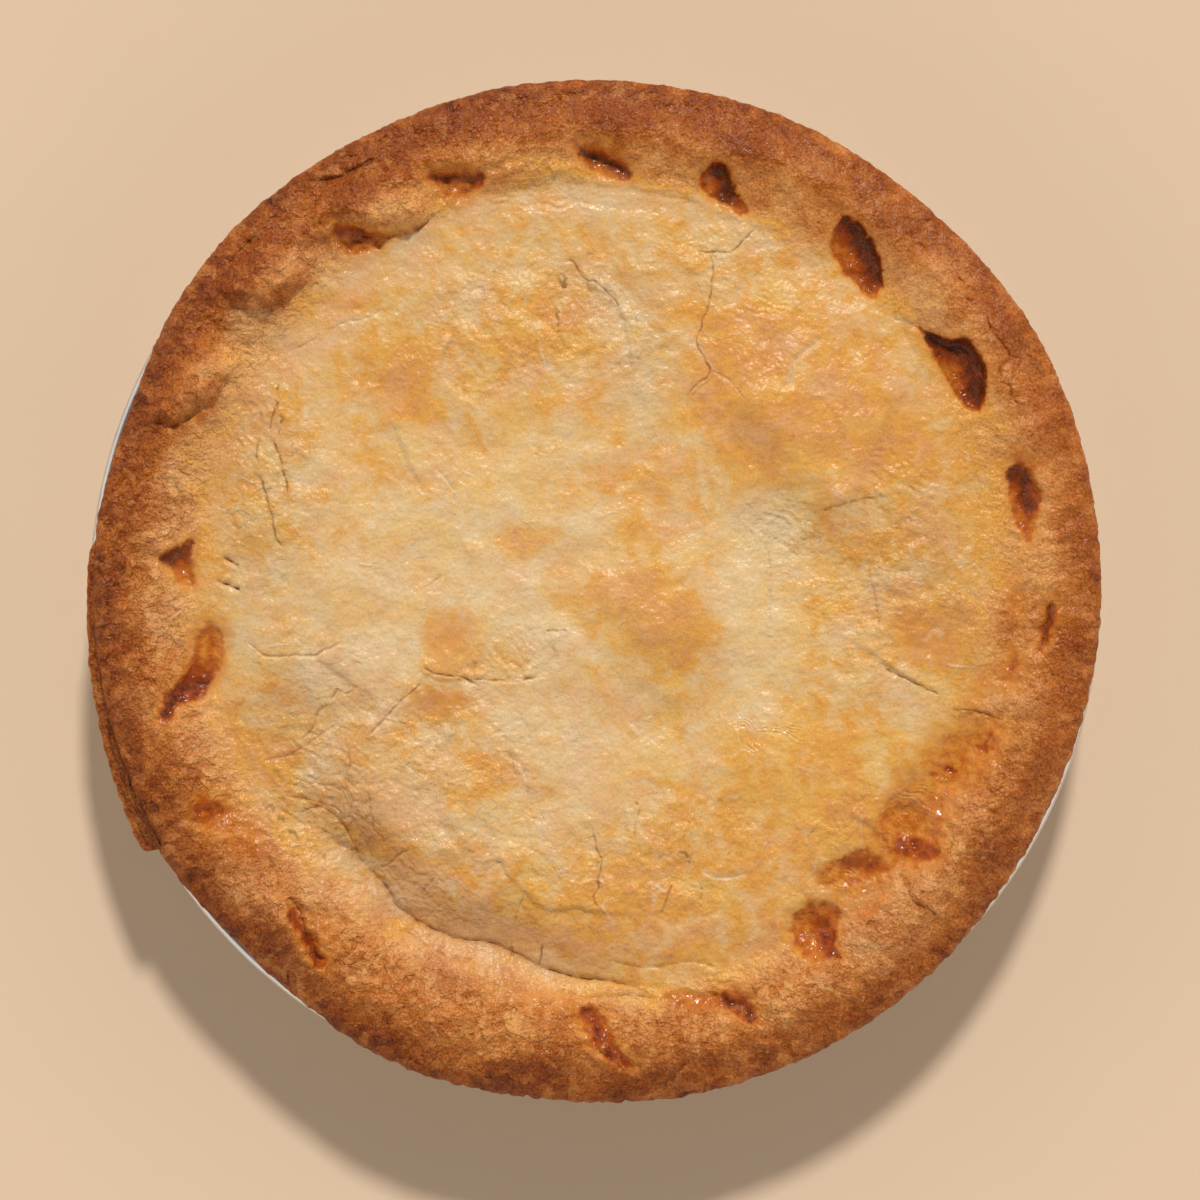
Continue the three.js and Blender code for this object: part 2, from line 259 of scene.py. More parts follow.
# folds with an inner lip: line (high side on its left), height, width of the rounded
# flank, reach of the swell behind it
LIPS = [
    ([(322, 968), (312, 952), (302, 934), (293, 914), (284, 896), (272, 876)], 1.3, 1.3, 5.0),
    ([(326, 200), (336, 216), (352, 227), (378, 233), (407, 231), (428, 220), (446, 203)], 3.1, 3.4, 8.0),
    ([(212, 282), (230, 298), (254, 308), (275, 303), (292, 293), (318, 278)], 3.3, 3.4, 8.0),
    ([(132, 424), (160, 423), (182, 417), (208, 401), (226, 381), (243, 352)], 3.3, 3.5, 8.0),
    ([(428, 172), (446, 180), (464, 188), (486, 191), (510, 190), (536, 184), (560, 172), (576, 160)], 1.2, 3.8, 7.0),
    ([(446, 203), (480, 186), (505, 186), (540, 176), (580, 182), (621, 187), (660, 192), (693, 200), (722, 214), (750, 224), (800, 238), (834, 262)], 0.5, 2.2, 6.0),
    ([(924, 330), (945, 339), (968, 343), (985, 368), (980, 406)], 1.2, 1.2, 4.0),
    ([(842, 214), (861, 224), (877, 250), (882, 284)], 1.1, 1.2, 4.0),
    ([(1006, 468), (1022, 464), (1036, 480), (1040, 504)], 0.9, 1.2, 4.0),
    ([(430, 176), (446, 168), (468, 168), (484, 175)], 1.2, 1.6, 4.0),
    ([(574, 148), (590, 150), (612, 160), (638, 173)], 1.6, 2.6, 5.0),
    ([(701, 174), (713, 164), (728, 168), (738, 190)], 1.2, 1.3, 4.0),
    ([(158, 560), (174, 550), (194, 546)], 1.0, 1.4, 4.0),
    ([(292, 178), (336, 176), (362, 166), (380, 152)], 0.9, 0.8, 4.0),
    ([(226, 262), (240, 250), (258, 230)], 0.8, 0.8, 3.0),
    ([(462, 859), (498, 860), (508, 873), (524, 889), (534, 902), (552, 909), (578, 907), (600, 912), (640, 914)], 0.7, 0.7, 5.0),
    ([(690, 412), (716, 430), (741, 452), (756, 474), (772, 498), (790, 512), (806, 526), (830, 541), (862, 552)], 2.6, 11.0, 14.0),
    ([(386, 409), (399, 435), (412, 467), (430, 494)], 0.6, 0.8, 5.0),
    ([(481, 414), (471, 403), (455, 390), (440, 370), (442, 354), (452, 337), (459, 321)], 0.6, 0.6, 5.0),
    ([(314, 655), (334, 669), (357, 686), (382, 700)], 0.9, 1.4, 6.0),
    ([(622, 682), (640, 694), (656, 704), (676, 714), (700, 716)], 0.9, 5.0, 7.0),
    ([(556, 590), (580, 606), (612, 636), (640, 664), (668, 690)], 1.1, 9.0, 10.0),
    ([(245, 469), (257, 474), (263, 484), (268, 503), (273, 520), (276, 536), (284, 549)], 0.45, 0.6, 4.0),
    ([(546, 628), (554, 646), (559, 659), (546, 674), (526, 680), (505, 681), (480, 680)], 0.6, 0.8, 3.5),
    ([(416, 662), (430, 676), (450, 680), (472, 676)], 0.7, 1.0, 4.0),
    ([(848, 638), (874, 654), (900, 672), (925, 688), (941, 695)], 0.6, 0.6, 4.0),
    ([(864, 563), (874, 593), (880, 622), (880, 648)], 0.45, 1.0, 4.0),
    ([(815, 511), (848, 502), (880, 495), (905, 490)], 0.45, 1.0, 4.0),
    ([(768, 544), (770, 583), (768, 632), (775, 648)], 0.4, 1.0, 4.0),
    ([(841, 810), (858, 818), (872, 827), (890, 846), (897, 869)], 0.7, 0.7, 3.5),
    ([(949, 708), (967, 712), (982, 712), (1000, 720)], 0.7, 0.6, 3.0),
    ([(1084, 626), (1095, 627), (1108, 628)], 0.9, 0.6, 5.0),
    ([(1108, 565), (1095, 565), (1082, 564)], 0.7, 0.6, 4.0),
    ([(1000, 745), (968, 792), (938, 850), (900, 880), (862, 900), (845, 958)], 1.5, 5.0, 8.0),
    ([(1062, 700), (1030, 742), (1012, 790), (1004, 830)], 0.9, 2.5, 5.0),
    ([(1000, 838), (970, 868), (940, 918), (930, 950)], 0.8, 2.2, 5.0),
    ([(908, 880), (922, 906), (948, 922), (960, 950)], 0.7, 1.8, 4.0),
    ([(336, 985), (310, 960), (290, 920), (286, 890)], 0.9, 2.5, 5.0),
    ([(206, 880), (222, 846), (214, 808), (196, 780)], 0.8, 2.5, 5.0),
    ([(640, 1090), (622, 1062), (600, 1034), (584, 1006)], 0.8, 2.2, 5.0),
    ([(790, 1060), (772, 1036), (752, 1016), (728, 1004)], 0.7, 2.2, 5.0),
    ([(570, 262), (588, 284), (606, 294), (620, 312), (628, 340), (632, 374)], 0.8, 1.6, 5.0),
    ([(700, 196), (640, 212), (570, 204), (510, 214), (452, 236), (412, 262)], 0.5, 3.0, 7.0),
]
# pits where the rim was pressed: outline, its shaded side, depth, darkness there (dark glaze deepened with painted
# shadow), reach of the dark, darkness elsewhere, amber, softness of its edge
PITS = [
    ([(332, 223), (352, 227), (374, 232), (394, 236), (408, 233), (386, 243), (376, 251), (356, 254), (336, 248)], [(334, 226), (348, 229), (366, 233)], 0.9, 0.66, 8, 0.34, 0.95, 0.6),
    ([(426, 177), (440, 171), (460, 170), (482, 174), (486, 184), (472, 196), (458, 204), (446, 198), (435, 187)], [(430, 178), (450, 178), (468, 177), (482, 178)], 1.4, 1.02, 6, 0.24, 0.92, 1.2),
    ([(572, 147), (592, 142), (612, 153), (630, 168), (640, 180), (620, 183), (600, 175), (583, 164)], [(579, 152), (594, 157), (612, 166), (630, 175)], 1.2, 1.02, 6, 0.30, 0.90, 1.2),
    ([(699, 176), (712, 162), (727, 166), (736, 188), (750, 214), (738, 214), (722, 203), (704, 193)], [(719, 168), (728, 174), (732, 188), (726, 196)], 1.3, 1.05, 10, 0.46, 0.96, 0.5),
    ([(842, 213), (860, 224), (876, 248), (884, 278), (875, 300), (858, 286), (839, 267), (830, 240)], [(848, 219), (860, 232), (872, 252), (877, 270)], 1.4, 1.05, 15, 0.42, 0.98, 0.4),
    ([(918, 327), (944, 337), (969, 341), (986, 369), (980, 410), (962, 404), (948, 382), (931, 354)], [(932, 336), (948, 344), (966, 350), (977, 371), (976, 394)], 1.5, 1.02, 14, 0.34, 1.0, 0.3),
    ([(1005, 471), (1020, 462), (1034, 478), (1041, 500), (1035, 528), (1027, 542), (1012, 515)], [(1010, 474), (1020, 476), (1026, 492), (1030, 506)], 1.0, 0.95, 9, 0.36, 0.95, 0.4),
    ([(1004, 462), (1014, 452), (1030, 456), (1042, 464), (1034, 472), (1016, 470)], [(1012, 464), (1030, 466)], 0.2, 0.45, 5, 0.22, 0.6, 0.9),
    ([(1050, 597), (1058, 612), (1049, 640), (1038, 653), (1039, 628)], [(1052, 600), (1050, 620), (1042, 646)], 0.8, 0.90, 7, 0.38, 0.75, 1.3),
    ([(1013, 648), (1020, 660), (1010, 689), (1000, 682)], [(1016, 652), (1014, 668)], 0.5, 0.60, 6, 0.22, 0.85, 1.5),
    ([(934, 766), (954, 760), (969, 767), (967, 783), (952, 794), (936, 790), (927, 777)], [(946, 772), (960, 774), (964, 780)], 0.5, 0.66, 9, 0.36, 0.97, 0.6),
    ([(974, 730), (989, 727), (996, 740), (990, 753), (978, 753), (971, 742)], [(980, 740), (988, 742)], 0.3, 0.58, 9, 0.46, 1.0, 0.6),
    ([(942, 736), (962, 732), (975, 744), (972, 760), (956, 767), (942, 756)], [(958, 748), (968, 754)], 0.3, 0.50, 8, 0.26, 0.90, 0.8),
    ([(930, 742), (962, 728), (1000, 720), (1006, 744), (976, 778), (952, 806), (938, 854), (908, 870), (872, 890), (840, 906), (826, 880), (856, 846), (884, 806), (912, 768)], [(940, 800), (930, 846), (902, 864), (872, 884)], 0.3, 0.36, 10, 0.13, 0.80, 1.5),
    ([(884, 808), (906, 802), (926, 812), (934, 830), (942, 854), (926, 863), (908, 868), (890, 860), (882, 838), (876, 820)], [(902, 846), (914, 846), (926, 852), (936, 857)], 0.6, 0.66, 9, 0.21, 0.95, 0.8),
    ([(834, 860), (852, 849), (876, 851), (888, 864), (894, 877), (872, 883), (846, 886), (824, 888), (817, 876)], [(846, 862), (862, 862), (876, 864)], 0.4, 0.60, 8, 0.22, 0.94, 0.8),
    ([(788, 931), (798, 910), (824, 902), (841, 910), (838, 930), (837, 945), (843, 960), (830, 957), (816, 962), (798, 955)], [(820, 924), (827, 934), (828, 946), (835, 957)], 0.8, 0.72, 9, 0.28, 0.97, 0.7),
    ([(708, 994), (738, 987), (758, 1006), (752, 1024), (726, 1014)], [(728, 1002), (742, 1010), (748, 1016)], 0.6, 0.95, 9, 0.36, 0.97, 1.1),
    ([(576, 1010), (590, 1003), (604, 1014), (612, 1032), (634, 1068), (612, 1062), (587, 1038)], [(584, 1010), (592, 1020), (600, 1038), (618, 1062)], 0.7, 0.84, 8, 0.36, 0.97, 1.1),
    ([(283, 892), (292, 902), (303, 918), (313, 934), (323, 950), (329, 964), (321, 970), (312, 962), (303, 946), (294, 928), (286, 910)], [(294, 916), (303, 932), (312, 948), (319, 961)], 1.1, 0.70, 7, 0.24, 0.94, 1.0),
    ([(190, 802), (208, 792), (226, 806), (220, 830), (199, 828)], [(200, 808), (212, 806)], 0.5, 0.70, 10, 0.28, 0.90, 1.6),
    ([(205, 619), (225, 633), (223, 658), (216, 678), (204, 698), (180, 708), (168, 726), (159, 719), (163, 698), (181, 677), (190, 661), (193, 637)], [(165, 714), (169, 700), (182, 691), (200, 682)], 0.9, 0.90, 15, 0.27, 0.97, 1.0),
    ([(156, 561), (172, 546), (194, 541), (193, 560), (196, 587), (179, 584), (170, 569)], [(162, 559), (176, 554), (190, 550)], 1.0, 0.85, 10, 0.32, 0.92, 0.7),
]
# blistered, purplish-brown bumps of the rim [u, v, half length, half width, turn, height, tint]
BLISTERS = [
    (356, 198, 22, 18, 10, 1.1, 0.8), (604, 122, 30, 17, -8, 1.1, 0.8), (746, 150, 28, 17, -24, 1.1, 0.8),
    (887, 224, 27, 16, -38, 1.0, 0.7), (1002, 332, 30, 16, -58, 1.0, 0.7), (1046, 762, 26, 16, 62, 0.9, 0.9),
    (988, 850, 22, 20, 30, 0.9, 0.8), (526, 1072, 40, 18, -4, 0.6, 0.9), (1080, 540, 18, 30, 0, 0.5, 0.6),
    (250, 268, 30, 15, 34, 0.8, 0.6), (208, 300, 22, 14, 44, 0.8, 0.6), (172, 334, 20, 16, 60, 0.7, 0.5),
    (160, 365, 24, 14, 40, 0.6, 0.4), (660, 1070, 34, 14, 8, 0.5, 0.5), (880, 985, 30, 16, 36, 0.5, 0.4),
    (452, 130, 34, 16, 20, 0.7, 0.4), (1085, 650, 14, 26, 0, 0.5, 0.5), (130, 730, 16, 30, 12, 0.5, 0.4),
    (300, 960, 24, 14, -40, 0.5, 0.4), (1040, 440, 18, 30, -14, 0.5, 0.3), (820, 170, 34, 14, -26, 0.5, 0.3),
]
# cracks and creases: line, depth, half width, darkness (painted shade in the crack)
CREASES = [
    ([(565, 259), (575, 264), (580, 274), (588, 281), (595, 282), (607, 292), (616, 302), (619, 310)], 0.55, 0.40, 0.75),
    ([(619, 310), (625, 324), (629, 345), (631, 372)], 0.30, 0.8, 0.25),
    ([(694, 250), (708, 252), (724, 252), (732, 252), (743, 241), (757, 228)], 0.5, 0.34, 0.7),
    ([(711, 248), (711, 256), (713, 269), (709, 301), (701, 327), (697, 342), (701, 353), (708, 366), (708, 376), (695, 386), (686, 400)], 0.5, 0.34, 0.65),
    ([(710, 370), (727, 379), (747, 402)], 0.25, 0.3, 0.32),
    ([(822, 337), (807, 350), (795, 360), (791, 373), (787, 390)], 0.6, 0.6, 0.12),
    ([(422, 668), (442, 675), (461, 677), (481, 687)], 0.6, 0.36, 0.85),
    ([(471, 679), (507, 681), (526, 680), (547, 674)], 0.5, 0.36, 0.55),
    ([(546, 631), (568, 630)], 0.4, 0.4, 0.45),
    ([(429, 584), (442, 576)], 0.3, 0.35, 0.45),
    ([(366, 738), (382, 721), (399, 703), (415, 689), (424, 680)], 0.45, 0.35, 0.55),
    ([(246, 642), (252, 646), (269, 656), (295, 655), (314, 655), (345, 640)], 0.45, 0.35, 0.5),
    ([(262, 760), (291, 754), (317, 737), (340, 722)], 0.4, 0.5, 0.4),
    ([(288, 796), (304, 799), (317, 802), (337, 809), (343, 822), (350, 835)], 0.5, 0.5, 0.6),
    ([(301, 812), (317, 807), (334, 815), (347, 832), (360, 861)], 0.6, 0.5, 0.7),
    ([(288, 776), (308, 783), (330, 786), (343, 793), (352, 812)], 0.4, 0.5, 0.45),
    ([(345, 770), (352, 785), (368, 795), (372, 815), (384, 830)], 0.35, 0.5, 0.35),
    ([(379, 868), (389, 864), (402, 853), (410, 850)], 0.4, 0.4, 0.5),
    ([(421, 894), (438, 874)], 0.3, 0.4, 0.4),
    ([(593, 827), (596, 847), (602, 860), (599, 876), (598, 889), (593, 897), (599, 909)], 0.5, 0.34, 0.6),
    ([(672, 884), (666, 902), (661, 915)], 0.45, 0.36, 0.6),
    ([(523, 897), (519, 905), (515, 925)], 0.5, 0.5, 0.35),
    ([(543, 946), (539, 968)], 0.8, 0.42, 0.95),
    ([(512, 946), (511, 958)], 0.5, 0.38, 0.8),
    ([(494, 754), (502, 751), (511, 756), (516, 778)], 0.3, 0.4, 0.3),
    ([(275, 407), (270, 430)], 0.5, 0.33, 0.8),
    ([(260, 437), (257, 451), (258, 462)], 0.4, 0.33, 0.6),
    ([(273, 441), (280, 458), (283, 471), (287, 484), (288, 495)], 0.55, 0.36, 0.85),
    ([(257, 474), (263, 484), (268, 503), (273, 520), (276, 536), (284, 549)], 0.6, 0.36, 0.9),
    ([(222, 558), (230, 561), (240, 566)], 1.5, 0.70, 1.0),
    ([(216, 581), (226, 584), (240, 589)], 1.5, 0.62, 1.0),
    ([(985, 310), (991, 330), (1003, 345), (1009, 357), (1000, 369), (1001, 381), (1009, 387), (1012, 399), (1024, 408)], 0.6, 0.38, 0.85),
    ([(1009, 357), (1021, 360), (1012, 378), (1009, 387)], 0.4, 0.36, 0.6),
    ([(957, 278), (968, 286), (978, 293)], 0.35, 0.38, 0.6),
    ([(963, 299), (978, 306)], 0.3, 0.38, 0.5),
    ([(883, 668), (907, 679), (925, 688), (941, 695)], 0.6, 0.42, 0.8),
    ([(952, 709), (970, 711), (984, 713), (1004, 721)], 0.6, 0.42, 0.8),
    ([(300, 181), (336, 178), (375, 158)], 0.7, 0.5, 0.85),
    ([(234, 257), (244, 246), (256, 236)], 0.6, 0.45, 0.8),
    ([(907, 879), (911, 897), (918, 904), (939, 914)], 0.4, 0.4, 0.6),
    ([(900, 873), (914, 902), (928, 909)], 0.35, 0.4, 0.5),
    ([(583, 1042), (600, 1051), (614, 1062), (627, 1073)], 0.8, 0.6, 0.85),
    ([(289, 895), (302, 915), (308, 941), (319, 966)], 1.1, 0.9, 0.85),
    ([(742, 1008), (752, 1018), (764, 1026)], 0.5, 0.5, 0.7),
    ([(893, 318), (906, 322), (920, 329)], 0.4, 0.4, 0.2),
    ([(1083, 627), (1106, 628)], 0.8, 0.42, 0.8),
    ([(1083, 565), (1106, 565)], 0.5, 0.36, 0.6),
    ([(1050, 603), (1047, 622), (1041, 648)], 0.8, 0.6, 0.8),
    ([(352, 236), (385, 236), (415, 229), (436, 216)], 0.4, 0.5, 0.5),
    ([(160, 428), (186, 421), (212, 403)], 0.4, 0.5, 0.5),
    ([(130, 560), (135, 590), (128, 625)], 0.3, 0.5, 0.35),
    ([(410, 1062), (432, 1068), (452, 1080)], 0.4, 0.5, 0.5),
    ([(980, 905), (962, 925), (945, 948)], 0.5, 0.6, 0.5),
    ([(330, 1012), (352, 1024), (378, 1040)], 0.4, 0.5, 0.4),
    ([(367, 868), (386, 888), (398, 908), (428, 928), (452, 938)], 0.6, 0.5, 0.6),
    ([(446, 938), (464, 941), (490, 944), (514, 954), (536, 966)], 0.5, 0.45, 0.5),
    ([(540, 968), (577, 979), (600, 981), (640, 988)], 0.7, 0.5, 0.75),
    ([(556, 990), (590, 998), (628, 996), (660, 1000)], 0.35, 0.5, 0.3),
    ([(610, 962), (648, 968), (690, 962), (720, 968)], 0.35, 0.5, 0.3),
    ([(327, 836), (340, 846), (356, 852)], 0.4, 0.45, 0.5),
    ([(398, 928), (420, 942), (450, 958), (480, 964)], 0.35, 0.5, 0.3),
    ([(330, 700), (338, 690), (346, 694), (356, 688)], 0.35, 0.4, 0.45),
    ([(300, 742), (312, 728), (318, 712), (330, 704)], 0.4, 0.4, 0.5),
    ([(346, 742), (350, 762), (346, 782), (352, 800), (348, 820)], 0.35, 0.4, 0.4),
    ([(352, 812), (372, 826), (386, 846)], 0.35, 0.4, 0.4),
    ([(404, 762), (414, 772), (412, 786), (422, 796)], 0.4, 0.5, 0.15),
    ([(500, 752), (520, 764), (528, 786), (526, 806)], 0.4, 0.5, 0.15),
    ([(486, 872), (500, 862), (506, 880)], 0.4, 0.45, 0.2),
    ([(640, 806), (634, 830), (640, 852)], 0.3, 0.4, 0.3),
    ([(700, 870), (722, 878), (748, 872)], 0.3, 0.4, 0.25),
    ([(690, 398), (700, 388), (712, 378)], 0.3, 0.4, 0.3),
    ([(868, 566), (874, 596), (880, 626)], 0.35, 0.45, 0.3),
    ([(820, 512), (848, 503), (880, 496)], 0.3, 0.45, 0.3),
    ([(768, 548), (771, 584), (768, 630)], 0.3, 0.5, 0.2),
    ([(438, 470), (452, 486), (456, 506)], 0.3, 0.4, 0.25),
    ([(330, 330), (346, 322), (366, 318), (384, 308)], 0.3, 0.4, 0.25),
    ([(286, 352), (302, 346), (318, 336)], 0.3, 0.4, 0.3),
]
# small smears of glaze [u, v, half length, half width, turn, taper, dark, amber]
SPOTS = [
    (323, 926, 26, 11, -56, 0.0, 0.10, 0.50), (404, 233, 30, 4, 22, 0.3, 0.15, 0.6), (205, 412, 22, 6, 36, 0.0, 0.15, 0.6),
    (448, 640, 26, 24, -30, 0.0, 0.04, 0.30), (446, 700, 30, 15, -6, 0.0, 0.30, 0.30),
    (925, 640, 40, 22, -20, 0.0, 0.0, 0.35), (980, 690, 34, 10, 64, 0.0, 0.1, 0.45),
    (690, 1000, 30, 10, -8, 0.0, 0.26, 0.85), (540, 1000, 50, 12, -4, 0.0, 0.10, 0.40), (610, 1052, 26, 12, -50, 0.0, 0.30, 0.6),
    (240, 830, 40, 20, -50, 0.0, 0.18, 0.55), (870, 905, 30, 10, 30, 0.0, 0.08, 0.35),
    (620, 166, 26, 7, -14, 0.0, 0.1, 0.4), (505, 168, 26, 7, 24, 0.0, 0.1, 0.35),
    (1016, 600, 12, 34, 8, 0.0, 0.1, 0.35), (355, 262, 34, 8, 18, 0.0, 0.0, 0.2),
]
# gold (+) and floury (-) patches of the lid [u, v, half length, half width, turn, strength]
PATCHES = [
    (810, 400, 160, 105, -14, 0.13), (760, 435, 80, 40, -12, 0.07), (750, 345, 60, 50, -30, 0.09), (890, 410, 60, 40, -38, 0.06),
    (634, 608, 76, 36, -14, 0.17), (672, 664, 44, 40, -40, 0.07), (628, 526, 14, 30, 0, 0.07), (408, 380, 34, 54, 12, 0.13), (528, 542, 40, 15, -6, 0.13),
    (928, 632, 48, 40, -20, 0.17), (468, 772, 46, 24, 10, 0.05), (770, 850, 190, 90, 10, 0.10), (852, 815, 60, 40, 30, 0.06),
    (380, 775, 34, 22, -20, 0.06), (530, 350, 72, 56, 0, 0.02), (600, 885, 120, 44, 0, 0.08), (640, 500, 50, 40, 0, 0.06),
    (820, 740, 60, 40, -10, 0.10), (448, 640, 34, 30, 0, 0.10), (515, 652, 30, 22, 0, 0.06), (860, 540, 70, 40, -20, 0.04),
    (470, 915, 70, 28, -24, 0.09), (372, 842, 56, 26, -55, 0.06), (560, 940, 80, 18, -6, 0.09), (440, 700, 30, 17, -6, 0.20),
    (250, 500, 50, 120, 0, 0.04), (960, 520, 60, 110, 0, 0.05), (700, 760, 60, 30, 0, 0.05),
    (460, 600, 190, 120, 0, -0.10), (560, 640, 50, 24, -10, -0.12), (770, 530, 44, 40, -40, -0.19), (748, 620, 34, 84, 4, -0.13),
    (500, 600, 50, 34, 0, -0.05), (570, 530, 40, 24, 0, -0.08), (640, 385, 34, 56, 10, -0.11), (540, 460, 70, 40, 0, -0.07),
    (300, 555, 50, 40, 0, -0.05), (800, 360, 10, 30, 20, -0.10), (610, 310, 30, 44, 20, -0.06), (560, 750, 70, 60, 0, -0.10),
    (470, 330, 12, 50, 6, -0.06), (430, 780, 50, 26, 10, -0.08), (620, 820, 40, 40, 0, -0.07), (330, 660, 90, 34, 0, -0.08),
    (880, 660, 30, 40, 0, -0.06),
]


# areas of the lid whose skin is cracked and flaky, same columns
FLAKY = [
    (400, 800, 150, 140, 0, 1.0), (300, 720, 70, 90, 0, 0.8), (530, 320, 120, 80, 0, 0.8), (600, 880, 150, 60, 0, 0.8),
    (880, 590, 80, 110, 0, 0.8), (265, 480, 50, 110, 0, 0.9), (730, 250, 90, 44, 0, 0.6), (500, 660, 60, 34, 0, 0.7),
    (785, 525, 44, 30, -30, 1.0), (690, 820, 70, 34, 0, 0.6), (850, 850, 110, 60, 36, 0.7), (640, 350, 40, 60, 0, 0.6),
]
# wrinkled skin [u, v, half length, half width, turn, direction across the wrinkles x and y, wave length,
# bend, strength]
RIPPLES = [
    (690, 826, 60, 27, -4, 1.0, -0.16, 1.75, 0.5, 1.0), (318, 785, 56, 66, 0, 0.45, 0.90, 2.7, 2.6, 1.1),
    (785, 528, 38, 20, -32, 0.40, 0.90, 2.1, 1.4, 1.0), (268, 840, 40, 50, -40, 0.70, 0.70, 2.6, 2.4, 0.7),
    (770, 735, 34, 22, -12, 0.35, 0.92, 1.5, 4.5, 0.6), (510, 655, 34, 18, 0, 0.80, 0.60, 1.9, 1.2, 0.8),
    (600, 300, 40, 40, 0, 0.85, 0.50, 2.2, 1.8, 0.7), (900, 480, 60, 34, -30, 0.50, 0.85, 2.2, 1.8, 0.7),
    (245, 420, 36, 60, 0, 0.90, 0.40, 2.4, 2.0, 0.7), (930, 790, 46, 28, 45, 0.60, 0.80, 1.7, 3.6, 0.6),
    (860, 865, 46, 22, 30, 0.40, 0.90, 1.7, 3.6, 0.6), (430, 880, 60, 30, -30, 0.60, 0.80, 2.2, 2.0, 0.8),
    (540, 200, 70, 16, 0, 0.20, 0.98, 2.0, 1.6, 0.7), (740, 305, 50, 18, -6, 0.30, 0.95, 2.0, 1.5, 0.6),
]
# where the egg wash shines, same columns as the flaky ones
SHINY = [
    (772, 736, 34, 22, -18, 1.0), (690, 826, 60, 24, -4, 0.5), (300, 790, 50, 60, 0, 0.45), (930, 790, 60, 40, 45, 0.6),
    (860, 870, 50, 26, 30, 0.6), (812, 945, 26, 20, 0, 0.6), (530, 690, 40, 10, 0, 0.5), (620, 300, 40, 30, 0, 0.3),
    (700, 290, 40, 20, -10, 0.35), (440, 830, 60, 40, -30, 0.25), (540, 205, 90, 16, 0, 0.3), (880, 470, 50, 30, -30, 0.3),
    (560, 900, 80, 40, 0, 0.25), (320, 245, 60, 24, 14, 0.3), (230, 440, 30, 60, 0, 0.25), (480, 170, 60, 20, 20, 0.3),
]
# pinker and yellower areas, same columns
HUES = [
    (390, 840, 120, 60, -48, 0.9), (300, 300, 90, 60, 40, 0.4), (610, 285, 60, 40, -20, 0.5), (560, 760, 60, 80, 0, 0.4),
    (700, 460, 120, 60, -20, -0.2), (640, 470, 60, 40, 0, 0.4), (480, 940, 120, 40, -16, 0.6), (900, 560, 60, 90, 0, 0.4),
    (935, 285, 110, 46, -45, 0.7), (180, 640, 40, 120, 0, 0.4), (250, 860, 60, 90, 40, 0.4), (880, 930, 90, 40, 40, 0.5), (760, 640, 80, 120, 0, -0.4), (820, 770, 80, 60, 0, -0.4), (500, 500, 90, 60, 0, -0.3), (330, 690, 80, 40, 0, 0.5), (912, 868, 90, 24, 48, 0.6), (300, 920, 90, 40, -48, 0.5),
]
# duller, slightly darker areas, partly painted shade (the last three rows lie under the rim's lobes), same columns as
# the flaky ones
DULL_AND_SHADE = [
    (245, 540, 60, 150, 0, 0.09), (955, 560, 70, 130, 0, 0.10), (300, 720, 60, 60, 0, 0.11), (370, 845, 60, 32, -52, 0.23),
    (470, 922, 76, 28, -24, 0.15), (442, 698, 30, 18, 0, 0.13), (660, 655, 50, 40, 0, 0.06), (640, 370, 36, 60, 10, 0.08),
    (610, 290, 70, 26, -20, 0.07), (860, 540, 70, 40, -30, 0.08), (775, 520, 40, 34, 0, 0.06), (330, 780, 50, 36, 0, 0.08),
    (400, 330, 90, 60, 20, 0.03), (1000, 690, 44, 70, 20, 0.06), (700, 720, 60, 24, -10, 0.05),
    (264, 294, 40, 9, 14, 0.08), (182, 410, 42, 10, 22, 0.10), (388, 230, 38, 6, 8, 0.06),
]


# browner areas of the lid with a definite outline: outline, softness in mm, strength
GOLD = [
    ([(712, 311), (750, 306), (792, 314), (800, 350), (790, 392), (806, 408), (868, 398), (906, 440), (880, 472), (804, 462), (762, 474), (702, 444), (690, 412), (706, 372), (700, 340)], 3.5, 0.07),
    ([(455, 320), (500, 290), (560, 290), (600, 310), (612, 360), (590, 410), (540, 425), (480, 412), (455, 385), (445, 350)], 3.5, 0.04),
    ([(392, 345), (430, 340), (438, 372), (436, 392), (452, 410), (440, 425), (405, 420), (385, 390)], 1.8, 0.10),
    ([(554, 590), (580, 578), (620, 574), (650, 566), (686, 592), (708, 640), (690, 662), (650, 652), (606, 642), (572, 624)], 4.0, 0.10),
    ([(490, 531), (560, 528), (549, 553), (522, 560), (498, 552)], 0.9, 0.13),
    ([(425, 615), (470, 608), (484, 640), (480, 676), (440, 678), (420, 655)], 1.1, 0.15),
    ([(890, 610), (950, 598), (975, 620), (960, 668), (925, 680), (895, 650)], 4.5, 0.08),
    ([(820, 480), (880, 500), (930, 540), (900, 580), (850, 570), (826, 530)], 5.0, 0.05),
    ([(430, 760), (500, 752), (520, 780), (480, 806), (440, 796)], 3.5, 0.06),
    ([(820, 790), (870, 800), (880, 830), (840, 850), (806, 830)], 4.0, 0.06),
]


